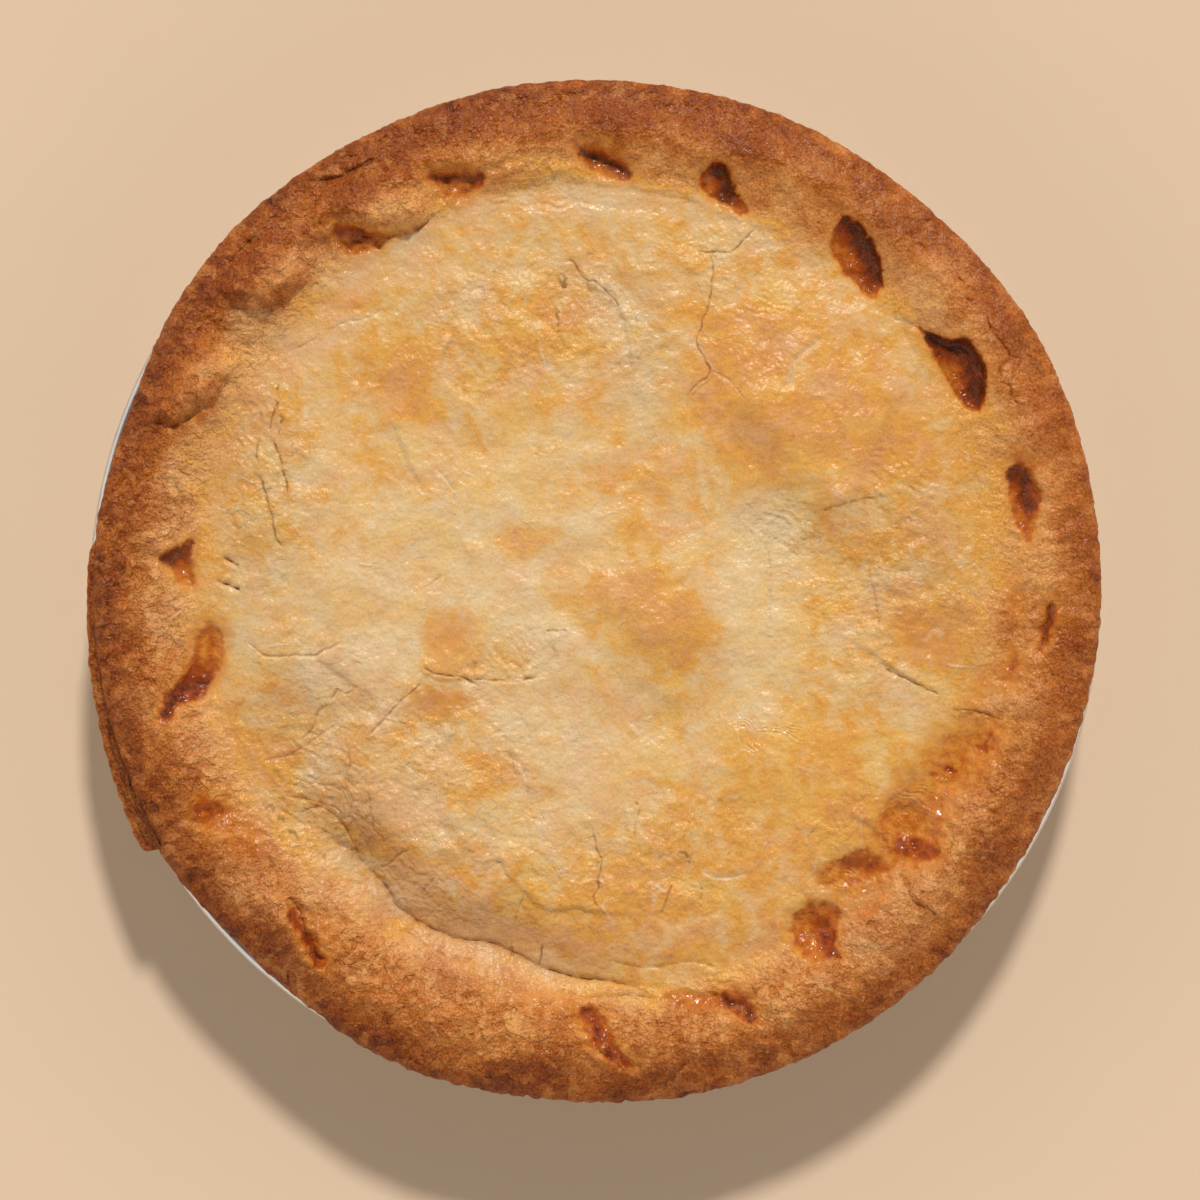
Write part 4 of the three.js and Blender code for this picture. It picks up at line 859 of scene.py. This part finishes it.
def build_crust():
    deg = np.arange(ROUND) * 360.0 / ROUND
    ca, sa = np.cos(np.radians(deg)), np.sin(np.radians(deg))
    edge = edge_radius(deg) + ragged(deg)

    bands = [4.2, 3.3, 2.5, 1.8, 1.2, 0.72, 0.36, 0.12, 0.0]   # inset of the edge rings
    inner = edge - bands[0]
    pts = crust_points()
    pdeg = np.degrees(np.arctan2(pts[:, 1], pts[:, 0])) % 360
    limit = np.interp(pdeg, np.append(deg, 360.0), np.append(inner, inner[0])) - 0.5
    pts = pts[np.hypot(*pts.T) < limit]
    ring = np.c_[inner * ca, inner * sa]
    cloud = np.vstack([ring, pts])
    loop = [(i, (i + 1) % ROUND) for i in range(ROUND)]
    v2, _, faces, orig, _, _ = delaunay_2d_cdt([Vector(p) for p in cloud], loop, [], 1, 1e-7)
    flat = np.array([tuple(v) for v in v2])
    where = {}
    for k, ids in enumerate(orig):
        for i in ids:
            where[i] = k
    last = [where[i] for i in range(ROUND)]
    tris = []
    for f in faces:
        a, b, c = f
        area = (flat[b][0] - flat[a][0]) * (flat[c][1] - flat[a][1]) - (flat[b][1] - flat[a][1]) * (flat[c][0] - flat[a][0])
        tris.append((a, b, c) if area > 0 else (a, c, b))

    xs, ys = [flat[:, 0]], [flat[:, 1]]
    total = len(flat)
    rings_of = []
    for b in bands[1:]:
        xs.append((edge - b) * ca)
        ys.append((edge - b) * sa)
        rings_of.append(np.arange(total, total + ROUND))
        total += ROUND
    x, y = np.concatenate(xs), np.concatenate(ys)
    z, looks = crust(x, y)

    def strip(a, b, out):
        a, b = list(a), list(b)
        n = len(a)
        for i in range(n):
            j = (i + 1) % n
            out.append((a[i], b[i], b[j]))
            out.append((a[i], b[j], a[j]))

    spread = np.hypot(x, y)            # radius on the flat map, measured along the edge's curve
    way = np.asarray(last)
    for ids in rings_of:
        strip(last, ids, tris)
        spread[ids] = spread[way] + np.hypot(np.hypot(x[ids], y[ids]) - np.hypot(x[way], y[way]), z[ids] - z[way])
        way = ids
        last = ids
    plan = np.c_[x, y] * (spread / np.maximum(np.hypot(x, y), 1e-9))[:, None]
    flat_map = list(MAP_MIDDLE + plan[np.array(tris)] * MAP_SCALE)

    def on_strip(col, far, start, count, rows, low, step, scale):
        """Place on the flat map of a point of an unrolled ring, which is cut into rows."""
        per = count // rows
        row = start // per
        return (0.732 - 0.72 * (col - row * per) / per, low + row * step + scale * far)

    def unroll(run, further, rows, low, step, scale):
        n = len(run)
        for i in range(n):
            j = (i + 1) % n
            spot = lambda col, far: on_strip(col, far, i, n, rows, low, step, scale)
            flat_map.append((spot(i, run[i]), spot(i, further[i]), spot(i + 1, further[j])))
            flat_map.append((spot(i, run[i]), spot(i + 1, further[j]), spot(i + 1, run[j])))

    # the edge's underside: tuck, flap, then in over the tin's rolled edge
    f = on_flap(deg)
    fr = flap_radius(deg)
    low = z[last]
    a40 = (np.cos(np.radians(deg)) * 40, np.sin(np.radians(deg)) * 40)
    crumb = 0.22 * noise(a40[0] * 1.7, a40[1] * 1.7, 601)
    crumb2 = 0.22 * noise(a40[0] * 2.3, a40[1] * 2.3, 602)
    rest = BEAD_CENTRE_Z + BEAD_R + GAP
    fr_rag = fr + f * (0.35 * noise(a40[0] * 1.2, a40[1] * 1.2, 603) + 0.2 * noise(a40[0] * 3.4, a40[1] * 3.4, 604))
    mix = lambda a, b: a + (b - a) * f
    under = [
        (edge - 0.04 - 0.25 * f, mix(low - 0.45, FLAP_TOP_Z + 0.55)),
        (edge - 0.22 + crumb - 0.9 * f, mix(low - 0.95, FLAP_TOP_Z + 0.30)),
        (mix(edge - 0.12 + crumb2, fr_rag - 0.35), mix(low - 1.45, FLAP_TOP_Z + 0.12)),
        (mix(edge - 0.35 + crumb, fr_rag), mix(low - 1.95, FLAP_TOP_Z - 0.5)),
        (mix(edge - 0.65 + crumb2, fr_rag - 0.12), mix(np.full_like(low, rest + 0.45), FLAP_LOW_Z + 0.7)),
        (mix(edge - 1.0, fr_rag - 0.5), mix(np.full_like(low, rest + 0.22), FLAP_LOW_Z + 0.15)),
        (edge - 1.8 + 0.6 * f, np.full_like(low, rest + 0.1)),
    ]
    extra = {k: [] for k in looks}
    vx, vy, vz = [x], [y], [z]
    n0 = len(x)

    def add_ring(rr, zz, count, brown):
        nonlocal n0
        d = np.arange(count) * 360.0 / count
        vx.append(np.broadcast_to(rr, count) * np.cos(np.radians(d)))
        vy.append(np.broadcast_to(rr, count) * np.sin(np.radians(d)))
        vz.append(np.broadcast_to(zz, count).astype(float))
        for k in extra:
            extra[k].append(np.full(count, brown if k == "brown" else BENEATH.get(k, 0.0)) if np.isscalar(brown) or k != "brown" else brown)
        ids = np.arange(n0, n0 + count)
        n0 += count
        return ids

    edge_brown = looks["brown"][last]
    run, from_r, from_z = np.zeros(ROUND), edge, low
    for k, (rr, zz) in enumerate(under):
        further = run + np.hypot(rr - from_r, zz - from_z)
        unroll(run, further, 3, 0.752, 0.048, MAP_SCALE)
        run, from_r, from_z = further, rr, zz
        tone = np.clip(edge_brown + 0.02 - 0.03 * k, 0.5, 1.0)
        ids = add_ring(rr, zz, ROUND, tone)
        if k == 1:
            # a painted shadow line where the edge overhangs the flap
            extra["crease_shade"][-1] = 0.55 * f
        strip(last, ids, tris)
        last = ids

    # the part inside the tin
    foot_r, foot_z = BASE_R + FLOOR_CORNER * 0.9, SHEET + FLOOR_CORNER
    wall = lambda q: foot_r + (WALL_TOP_R - foot_r) * (q - foot_z) / (FLANGE_Z - 1.0 - foot_z)
    half = ROUND // 2
    ids = add_ring(BEAD_CENTRE_R - BEAD_R - 0.4, rest, half, 0.5)
    a, b = list(last), list(ids)
    for i in range(half):
        j = (i + 1) % half
        p, q, s = a[2 * i], a[2 * i + 1], a[(2 * i + 2) % ROUND]
        tris += [(b[i], q, p), (b[i], b[j], q), (q, b[j], s)]
        spot = lambda col, far: on_strip(col, far, i, half, 1, 0.905, 0, 0.0017)
        flat_map += [(spot(i, 6), spot(i + 0.5, 0), spot(i, 0)), (spot(i, 6), spot(i + 1, 6), spot(i + 0.5, 0)), (spot(i + 0.5, 0), spot(i + 1, 6), spot(i + 1, 0))]
    run, from_r, from_z = np.full(half, 6.0), BEAD_CENTRE_R - BEAD_R - 0.4, rest
    last = ids
    for rr, zz in (
        (WALL_TOP_R + 0.9, FLANGE_Z + GAP + 0.15),
        (wall(FLANGE_Z - 1.4) - GAP, FLANGE_Z - 1.4),
        (wall(foot_z + 0.6) - GAP, foot_z + 0.6),
        (BASE_R - GAP, SHEET + GAP),
    ):
        ids = add_ring(rr, zz, half, 0.45)
        strip(last, ids, tris)
        further = run + math.hypot(rr - from_r, zz - from_z)
        unroll(run, further, 1, 0.905, 0, 0.0017)
        run, from_r, from_z = further, rr, zz
        last = ids
    vx.append(np.zeros(1)); vy.append(np.zeros(1)); vz.append(np.full(1, SHEET + GAP))
    for k in extra:
        extra[k].append(np.full(1, 0.45 if k == "brown" else BENEATH.get(k, 0.0)))
    last = list(last)
    for i in range(half):
        tris.append((n0, last[(i + 1) % half], last[i]))
        spot = lambda col: (0.87 + 0.11 * math.cos(2 * math.pi * col / half), 0.13 - 0.11 * math.sin(2 * math.pi * col / half))
        flat_map.append(((0.87, 0.13), spot(i + 1), spot(i)))

    co = np.c_[np.concatenate(vx), np.concatenate(vy), np.concatenate(vz)] / 1000.0
    looks = {k: np.concatenate([looks[k]] + extra[k]) for k in looks}
    return co, tris, looks, np.array([np.asarray(t, float) for t in flat_map])


def mesh_object(name, co, tris, attributes=None, smooth=True, flat_map=None):
    me = bpy.data.meshes.new(name)
    tris = np.asarray(tris, np.int32)
    me.vertices.add(len(co))
    me.vertices.foreach_set("co", np.asarray(co, np.float32).ravel())
    me.loops.add(tris.size)
    me.loops.foreach_set("vertex_index", tris.ravel())
    me.polygons.add(len(tris))
    me.polygons.foreach_set("loop_start", np.arange(0, tris.size, tris.shape[1], dtype=np.int32))
    me.update(calc_edges=True)
    if flat_map is not None:
        me.uv_layers.new(name="OFBake").data.foreach_set("uv", np.asarray(flat_map, np.float32).ravel())
    me.validate()
    me.polygons.foreach_set("use_smooth", np.full(len(me.polygons), smooth))
    for key, values in (attributes or {}).items():
        me.attributes.new(key, "FLOAT", "POINT").data.foreach_set("value", np.asarray(values, np.float32))
    ob = bpy.data.objects.new(name, me)
    bpy.context.collection.objects.link(ob)
    return ob


# -------------------------------------------------------------- node helpers
def srgb(*c):
    out = []
    for v in c:
        v = v / 255.0
        out.append(v / 12.92 if v <= 0.04045 else ((v + 0.055) / 1.055) ** 2.4)
    return (*out, 1.0)


class Nodes:
    def __init__(self, name):
        self.mat = bpy.data.materials.new(name)
        self.mat.use_nodes = True
        self.tree = self.mat.node_tree
        self.tree.nodes.clear()
        out = self.tree.nodes.new("ShaderNodeOutputMaterial")
        self.bsdf = self.tree.nodes.new("ShaderNodeBsdfPrincipled")
        self.tree.links.new(self.bsdf.outputs[0], out.inputs[0])

    def link(self, value, socket):
        if isinstance(value, bpy.types.NodeSocket):
            self.tree.links.new(value, socket)
        elif value is not None:
            socket.default_value = value

    def attribute(self, name):
        n = self.tree.nodes.new("ShaderNodeAttribute")
        n.attribute_name = name
        return n.outputs["Fac"]

    def place(self, scale=(1, 1, 1)):
        c = self.tree.nodes.new("ShaderNodeTexCoord")
        m = self.tree.nodes.new("ShaderNodeMapping")
        m.inputs["Scale"].default_value = scale
        self.tree.links.new(c.outputs["Object"], m.inputs["Vector"])
        return m.outputs[0]

    def round_about(self, turns, out):
        """Coordinates that run round the pie and outwards, without a seam."""
        c = self.tree.nodes.new("ShaderNodeTexCoord")
        parts = self.tree.nodes.new("ShaderNodeSeparateXYZ")
        self.tree.links.new(c.outputs["Object"], parts.inputs[0])
        x, y, z = parts.outputs
        flat = self.math("SQRT", self.math("ADD", self.math("MULTIPLY", x, x), self.math("MULTIPLY_ADD", y, y, 1e-8)))
        join = self.tree.nodes.new("ShaderNodeCombineXYZ")
        self.link(self.math("MULTIPLY", self.math("DIVIDE", x, flat), turns), join.inputs[0])
        self.link(self.math("MULTIPLY", self.math("DIVIDE", y, flat), turns), join.inputs[1])
        self.link(self.math("MULTIPLY", self.math("ADD", flat, z), out), join.inputs[2])
        return join.outputs[0]

    def noise(self, vector, scale, detail=2.0, rough=0.5, distort=0.0):
        n = self.tree.nodes.new("ShaderNodeTexNoise")
        n.inputs["Scale"].default_value = scale
        n.inputs["Detail"].default_value = detail
        n.inputs["Roughness"].default_value = rough
        n.inputs["Distortion"].default_value = distort
        self.tree.links.new(vector, n.inputs["Vector"])
        return n.outputs["Fac"]

    def math(self, op, a, b=None, c=None, clamp=False):
        n = self.tree.nodes.new("ShaderNodeMath")
        n.operation = op
        n.use_clamp = clamp
        for v, s in zip((a, b, c), n.inputs):
            self.link(v, s)
        return n.outputs[0]

    def remap(self, value, a, b, c=0.0, d=1.0, smooth=False):
        n = self.tree.nodes.new("ShaderNodeMapRange")
        n.interpolation_type = "SMOOTHSTEP" if smooth else "LINEAR"
        self.link(value, n.inputs["Value"])
        for key, v in (("From Min", a), ("From Max", b), ("To Min", c), ("To Max", d)):
            n.inputs[key].default_value = v
        return n.outputs["Result"]

    def chips(self, vector, scale, smooth, bend):
        """A random value for each irregular chip, blending at the borders."""
        noise = self.tree.nodes.new("ShaderNodeTexNoise")
        self.link(vector, noise.inputs["Vector"])
        noise.inputs["Scale"].default_value = scale * 0.8
        noise.inputs["Detail"].default_value = 0.0
        off = self.tree.nodes.new("ShaderNodeVectorMath")
        off.operation = "MULTIPLY_ADD"
        self.link(noise.outputs["Color"], off.inputs[0])
        off.inputs[1].default_value = (bend, bend, bend)
        self.link(vector, off.inputs[2])
        cell = self.tree.nodes.new("ShaderNodeTexVoronoi")
        cell.voronoi_dimensions = "2D"
        cell.feature = "SMOOTH_F1"
        self.link(off.outputs["Vector"], cell.inputs["Vector"])
        cell.inputs["Scale"].default_value = scale
        cell.inputs["Smoothness"].default_value = smooth
        split = self.tree.nodes.new("ShaderNodeSeparateColor")
        self.link(cell.outputs["Color"], split.inputs["Color"])
        return split.outputs["Red"]

    def ramp(self, value, stops):
        n = self.tree.nodes.new("ShaderNodeValToRGB")
        e = n.color_ramp.elements
        while len(e) < len(stops):
            e.new(0.5)
        for el, (p, c) in zip(e, stops):
            el.position, el.color = p, c
        self.link(value, n.inputs[0])
        return n.outputs["Color"]

    def mix(self, fac, a, b, blend="MIX"):
        n = self.tree.nodes.new("ShaderNodeMix")
        n.data_type = "RGBA"
        n.blend_type = blend
        self.link(fac, n.inputs["Factor"])
        self.link(a, [s for s in n.inputs if s.name == "A" and s.type == "RGBA"][0])
        self.link(b, [s for s in n.inputs if s.name == "B" and s.type == "RGBA"][0])
        return [s for s in n.outputs if s.type == "RGBA"][0]

    def grey(self, value):
        n = self.tree.nodes.new("ShaderNodeCombineColor")
        for s in n.inputs:
            self.link(value, s)
        return n.outputs[0]

    def bump(self, height, distance, strength=1.0, normal=None):
        n = self.tree.nodes.new("ShaderNodeBump")
        n.inputs["Strength"].default_value = strength
        n.inputs["Distance"].default_value = distance
        self.tree.links.new(height, n.inputs["Height"])
        if normal is not None:
            self.tree.links.new(normal, n.inputs["Normal"])
        return n.outputs[0]


# ------------------------------------------------------------------ materials
def pastry_material():
    n = Nodes("baked_pastry")
    brown, amber = n.attribute("brown"), n.attribute("amber")
    burn_and_pit_shadow, crease_shade = n.attribute("burn_and_pit_shadow"), n.attribute("crease_shade")
    flour, ash = n.attribute("flour"), n.attribute("ash")
    tone, dull_and_shade = n.attribute("tone"), n.attribute("dull_and_shade")
    rimmed, flaky = n.attribute("rimmed"), n.attribute("flaky")
    strata, crumbly = n.attribute("strata"), n.attribute("crumbly")
    slit, slit_shade = n.attribute("slit"), n.attribute("slit_shade")
    at = n.place()
    fine = n.noise(at, 430, 1, 0.65)
    grain = n.noise(at, 900, 1, 0.7)
    speck = n.noise(at, 1900, 0)
    chips = n.chips(at, 520, 0.16, 0.0018)
    rugged = n.attribute("rugged")
    layers = n.noise(n.round_about(34.0, 1250.0), 1.0, 0)
    crumbs = n.remap(chips, 0.62, 0.80, smooth=True)
    wrinkle = n.math("MULTIPLY", n.math("SINE", n.attribute("ripple")), n.attribute("rippled"))

    def swing(noise_out, low, high):
        """Noise about 0, its strength going from low on the lid to high on the rim."""
        centred = n.math("SUBTRACT", noise_out, 0.5)
        amount = n.math("MULTIPLY_ADD", rimmed, high - low, low)
        return n.math("MULTIPLY", centred, amount)

    level = n.math("ADD", brown, swing(fine, 0.20, 0.10))
    level = n.math("MULTIPLY_ADD", n.math("MULTIPLY", n.math("SUBTRACT", 0.5, chips), rugged), 0.11, level)
    level = n.math("MULTIPLY_ADD", n.math("MULTIPLY", n.math("SUBTRACT", layers, 0.5), strata), 0.30, level)
    colour = n.ramp(level, [
        (0.00, srgb(226, 196, 152)),
        (0.14, srgb(225, 183, 125)),
        (0.28, srgb(224, 172, 102)),
        (0.42, srgb(223, 158, 72)),
        (0.53, srgb(213, 148, 82)),
        (0.63, srgb(194, 120, 56)),
        (0.75, srgb(171, 94, 32)),
        (0.88, srgb(141, 68, 13)),
        (1.00, srgb(100, 42, 7)),
    ])
    on_lid = n.math("SUBTRACT", 1.0, rimmed)
    colour = n.mix(n.math("MULTIPLY", on_lid, n.remap(tone, 0.0, 1.0, 0.0, 0.60)), colour, srgb(223, 172, 127))
    colour = n.mix(n.math("MULTIPLY", on_lid, n.remap(tone, -1.0, 0.0, 0.42, 0.0)), colour, srgb(232, 188, 103))
    ruddy = n.ramp(level, [(0.45, srgb(216, 162, 110)), (0.62, srgb(197, 129, 76)), (0.78, srgb(164, 95, 47)), (0.95, srgb(126, 61, 23))])
    colour = n.mix(n.math("MULTIPLY", rimmed, n.remap(tone, 0.0, 1.0, 0.0, 0.62)), colour, ruddy)
    colour = n.mix(n.math("MULTIPLY", ash, 0.40), colour, srgb(126, 58, 21))
    # pale crumbs on the rim
    pale = n.math("MULTIPLY", crumbs, n.math("MULTIPLY", crumbly, 0.14))
    colour = n.mix(pale, colour, srgb(214, 150, 88))
    # thin cracks, darkened with painted shade
    gap = n.math("MULTIPLY", n.remap(n.math("ABSOLUTE", slit), 0.06, 0.36, 1.0, 0.0, smooth=True), slit_shade)
    tear, torn = n.attribute("tear"), n.attribute("torn")
    frayed = n.math("MULTIPLY", n.remap(n.math("ABSOLUTE", n.math("SUBTRACT", tear, 0.16)), 0.05, 0.50, 1.0, 0.0, smooth=True), torn)
    # split: a thin painted shadow on the low side of each torn flake edge
    split = n.math("MULTIPLY", n.remap(n.math("ABSOLUTE", n.math("ADD", tear, 0.16)), 0.03, 0.26, 1.0, 0.0, smooth=True), torn)
    floury = n.math("MULTIPLY", flour, n.remap(fine, 0.25, 0.75, 0.7, 1.0), clamp=True)
    colour = n.mix(floury, colour, srgb(227, 198, 154))
    colour = n.mix(n.math("MULTIPLY", frayed, 0.55), colour, srgb(230, 200, 162))
    # duller tone, partly painted shade under the rim's lobes, mixed towards dark brown
    colour = n.mix(dull_and_shade, colour, srgb(70, 44, 24))
    # glaze colour, darker where the pits' painted shadow falls
    sugar = n.ramp(n.math("ADD", burn_and_pit_shadow, n.math("ADD", swing(fine, 0.25, 0.25), swing(grain, 0.42, 0.42))), [
        (0.00, srgb(214, 138, 52)),
        (0.25, srgb(192, 102, 28)),
        (0.50, srgb(162, 67, 14)),
        (0.75, srgb(122, 41, 9)),
        (1.00, srgb(76, 21, 6)),
    ])
    colour = n.mix(n.math("MULTIPLY", amber, 0.95), colour, sugar)
    # painted shade in creases and cracks and beside torn flake edges, mixed towards dark brown
    crack_shade = n.math("MAXIMUM", n.math("MAXIMUM", crease_shade, gap), n.math("MULTIPLY", split, 0.14))
    colour = n.mix(n.math("MULTIPLY", crack_shade, 0.8), colour, n.mix(0.74, colour, srgb(124, 60, 20)))
    # fine lighter and darker speckle added to the colour: grain, partly painted sheen standing in for tiny glints
    speckle_and_sheen = n.math("MULTIPLY", n.math("ADD", swing(speck, 0.18, 0.36), swing(grain, 0.06, 0.24)), n.math("MULTIPLY_ADD", amber, -0.8, 1.0))
    speckle_and_sheen = n.math("MULTIPLY", speckle_and_sheen, n.remap(level, 0.55, 1.0, 1.0, 0.3))
    colour = n.mix(1.0, colour, n.mix(1.0, n.grey(speckle_and_sheen), (1.0, 0.60, 0.29, 1), "MULTIPLY"), "ADD")
    colour = n.mix(1.0, colour, (0.004, 0.002, 0.001, 1), "LIGHTEN")
    n.link(colour, n.bsdf.inputs["Base Color"])

    matt = n.math("MULTIPLY_ADD", n.attribute("gloss"), -0.16, n.math("MULTIPLY_ADD", rimmed, 0.03, 0.315))
    rough = n.math("ADD", n.math("MULTIPLY_ADD", amber, -0.17, matt), swing(fine, 0.24, 0.24), clamp=True)
    n.link(rough, n.bsdf.inputs["Roughness"])
    n.bsdf.inputs["Specular IOR Level"].default_value = 0.20

    # fine relief, in millimetres
    height = n.math("MULTIPLY", grain, n.math("MULTIPLY_ADD", rimmed, 0.20, n.math("MULTIPLY_ADD", rugged, 0.46, n.math("MULTIPLY_ADD", flaky, 0.20, 0.20))))
    height = n.math("MULTIPLY_ADD", fine, n.math("MULTIPLY_ADD", rimmed, 0.16, n.math("MULTIPLY_ADD", rugged, 0.25, n.math("MULTIPLY_ADD", flaky, 0.52, 0.40))), height)
    height = n.math("MULTIPLY_ADD", chips, n.math("MULTIPLY_ADD", rugged, 0.34, n.math("MULTIPLY", flaky, 0.16)), height)
    height = n.math("MULTIPLY_ADD", layers, n.math("MULTIPLY", strata, 0.95), height)
    height = n.math("MULTIPLY_ADD", gap, -0.15, height)
    height = n.math("MULTIPLY", height, n.math("SUBTRACT", 1.0, n.math("MULTIPLY", amber, 0.50)))
    height = n.math("MULTIPLY_ADD", grain, n.math("MULTIPLY", amber, -0.62), height)
    height = n.math("MULTIPLY_ADD", wrinkle, 0.14, height)
    ledge = n.math("MULTIPLY", n.remap(tear, -0.28, 0.28, smooth=True), n.remap(tear, 0.3, 1.6, 1.0, 0.0, smooth=True))
    height = n.math("MULTIPLY_ADD", n.math("MULTIPLY", ledge, torn), 0.15, height)
    n.link(n.bump(height, 0.001, 1.0), n.bsdf.inputs["Normal"])
    return n.mat


def tin_material():
    n = Nodes("pressed_tin")
    at = n.place()
    smear = n.noise(n.place((1.0, 1.0, 0.3)), 120, 3, 0.55)
    crinkle = n.noise(at, 420, 3, 0.6, 0.5)
    n.link(n.ramp(smear, [(0.3, (0.58, 0.59, 0.61, 1)), (0.7, (0.73, 0.73, 0.74, 1))]), n.bsdf.inputs["Base Color"])
    n.bsdf.inputs["Metallic"].default_value = 1.0
    n.link(n.remap(smear, 0.3, 0.7, 0.24, 0.40), n.bsdf.inputs["Roughness"])
    n.link(n.bump(crinkle, 0.0002, 0.35), n.bsdf.inputs["Normal"])
    return n.mat


def floor_material():
    n = Nodes("plain_floor")
    at = n.place()
    n.link(n.mix(n.noise(at, 30, 2), (0.776, 0.588, 0.426, 1), (0.788, 0.600, 0.434, 1)), n.bsdf.inputs["Base Color"])
    n.bsdf.inputs["Roughness"].default_value = 0.95
    n.bsdf.inputs["Specular IOR Level"].default_value = 0.1
    return n.mat


# ----------------------------------------------------------------------- tin
def build_tin():
    count = 480
    foot_r, foot_z = BASE_R + FLOOR_CORNER * 0.9, SHEET + FLOOR_CORNER
    wall = lambda q: foot_r + (WALL_TOP_R - foot_r) * (q - foot_z) / (FLANGE_Z - 1.0 - foot_z)
    shift = SHEET * 0.85
    prof = [(0, 0.0), (30, 0.0), (60, 0.0), (78, 0.0), (79, 0.0), (86, 0.0), (BASE_R - 1, 0.0), (BASE_R, 0.0)]
    for a in (15, 30, 45, 60, 75):
        q = math.radians(a)
        prof.append((BASE_R + (FLOOR_CORNER * 0.9 + shift) * math.sin(q) * 0.92, (foot_z - 0.2) * (1 - math.cos(q))))
    for t in np.linspace(0, 1, 12):
        q = foot_z + 0.5 + t * (FLANGE_Z - 2.2 - foot_z - 0.5)
        prof.append((wall(q) + shift, q))
    prof += [(WALL_TOP_R + 0.7, FLANGE_Z - 1.1), (WALL_TOP_R + 1.5, FLANGE_Z - SHEET), (116.0, FLANGE_Z - SHEET)]
    for a in np.linspace(165, 165 + 285, 20):
        q = math.radians(a)
        prof.append((BEAD_CENTRE_R + BEAD_R * math.cos(q), BEAD_CENTRE_Z + BEAD_R * math.sin(q)))
    prof += [(BEAD_CENTRE_R - BEAD_R - 0.2, FLANGE_Z), (115.0, FLANGE_Z), (WALL_TOP_R + 1.0, FLANGE_Z), (wall(FLANGE_Z - 1.0), FLANGE_Z - 1.0)]
    for t in np.linspace(0.9, 0, 8):
        q = foot_z + t * (FLANGE_Z - 1.0 - foot_z)
        prof.append((wall(q), q))
    prof += [(BASE_R + FLOOR_CORNER * 0.45, SHEET + FLOOR_CORNER * 0.3), (BASE_R, SHEET), (45, SHEET), (0, SHEET)]
    a = np.arange(count) * 2 * math.pi / count
    ca, sa = np.cos(a), np.sin(a)
    co, tris, rows = [], [], []
    for k, (r, z) in enumerate(prof):
        if r == 0:
            rows.append([len(co)])
            co.append((0.0, 0.0, z))
            continue
        rr = np.full(count, float(r))
        zz = np.full(count, float(z))
        rows.append(list(range(len(co), len(co) + count)))
        co += list(zip(rr * ca, rr * sa, zz))
    for k in range(len(rows) - 1):
        p, q = rows[k], rows[k + 1]
        for i in range(count):
            j = (i + 1) % count
            if len(p) == 1:
                tris.append((p[0], q[j], q[i]))
            elif len(q) == 1:
                tris.append((p[i], p[j], q[0]))
            else:
                tris.append((p[i], p[j], q[j]))
                tris.append((p[i], q[j], q[i]))
    return np.array(co) / 1000.0, tris


# ---------------------------------------------------------------------- build
co, tris, looks, flat_map = build_crust()
print("crust triangles", len(tris))
pie = mesh_object("pie_crust", co, tris, looks, flat_map=flat_map)
pie.data.materials.append(pastry_material())
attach(pie, "root")
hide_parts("pie")

co, tris = build_tin()
print("tin triangles", len(tris))
tin = mesh_object("pie_tin", co, tris)
tin.data.materials.append(tin_material())
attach(tin, "root")
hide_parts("tin")

# ---------------------------------------------------- floor, light and camera
floor_me = bpy.data.meshes.new("floor")
floor_me.from_pydata([(-3, -3, 0), (3, -3, 0), (3, 3, 0), (-3, 3, 0)], [], [(0, 1, 2, 3)])
floor = bpy.data.objects.new("floor", floor_me)
bpy.context.collection.objects.link(floor)
floor_me.materials.append(floor_material())

world = bpy.data.worlds.new("studio")
bpy.context.scene.world = world
world.use_nodes = True
wt = world.node_tree
sky = wt.nodes.new("ShaderNodeTexCoord")
parts = wt.nodes.new("ShaderNodeSeparateXYZ")
wt.links.new(sky.outputs["Generated"], parts.inputs[0])
overhead = wt.nodes.new("ShaderNodeValToRGB")
overhead.color_ramp.interpolation = "EASE"
overhead.color_ramp.elements[0].position = 0.40
overhead.color_ramp.elements[0].color = (1.06, 1.00, 0.91, 1)
overhead.color_ramp.elements[1].position = 0.86
overhead.color_ramp.elements[1].color = (0.10, 0.095, 0.088, 1)
wt.links.new(parts.outputs["Z"], overhead.inputs[0])
wt.links.new(overhead.outputs["Color"], wt.nodes["Background"].inputs["Color"])
wt.nodes["Background"].inputs["Strength"].default_value = 1.0

sun_data = bpy.data.lights.new("key", "SUN")
sun_data.energy = 2.15
sun_data.angle = math.radians(6)
sun_data.color = (1.0, 0.98, 0.95)
sun = bpy.data.objects.new("key", sun_data)
bpy.context.collection.objects.link(sun)
azimuth, elevation = math.radians(83), math.radians(48)
to_sun = Vector((math.cos(azimuth) * math.cos(elevation), math.sin(azimuth) * math.cos(elevation), math.sin(elevation)))
sun.rotation_mode = "QUATERNION"
sun.rotation_quaternion = to_sun.to_track_quat("Z", "Y")

DISTANCE = 1.6
FRAME_MM = 1200 / UNIT
cam_data = bpy.data.cameras.new("camera")
cam_data.sensor_width = 36.0
cam_data.lens = 18.0 / (FRAME_MM / 2000.0 / DISTANCE)
cam_data.clip_start, cam_data.clip_end = 0.05, 20.0
cam = bpy.data.objects.new("camera", cam_data)
cx, cy = pt(600, 600)
cam.location = (cx / 1000.0, cy / 1000.0, 0.040 + DISTANCE)
bpy.context.collection.objects.link(cam)
bpy.context.scene.camera = cam
bpy.context.scene.view_settings.view_transform = "Standard"
bpy.context.scene.view_settings.look = "None"
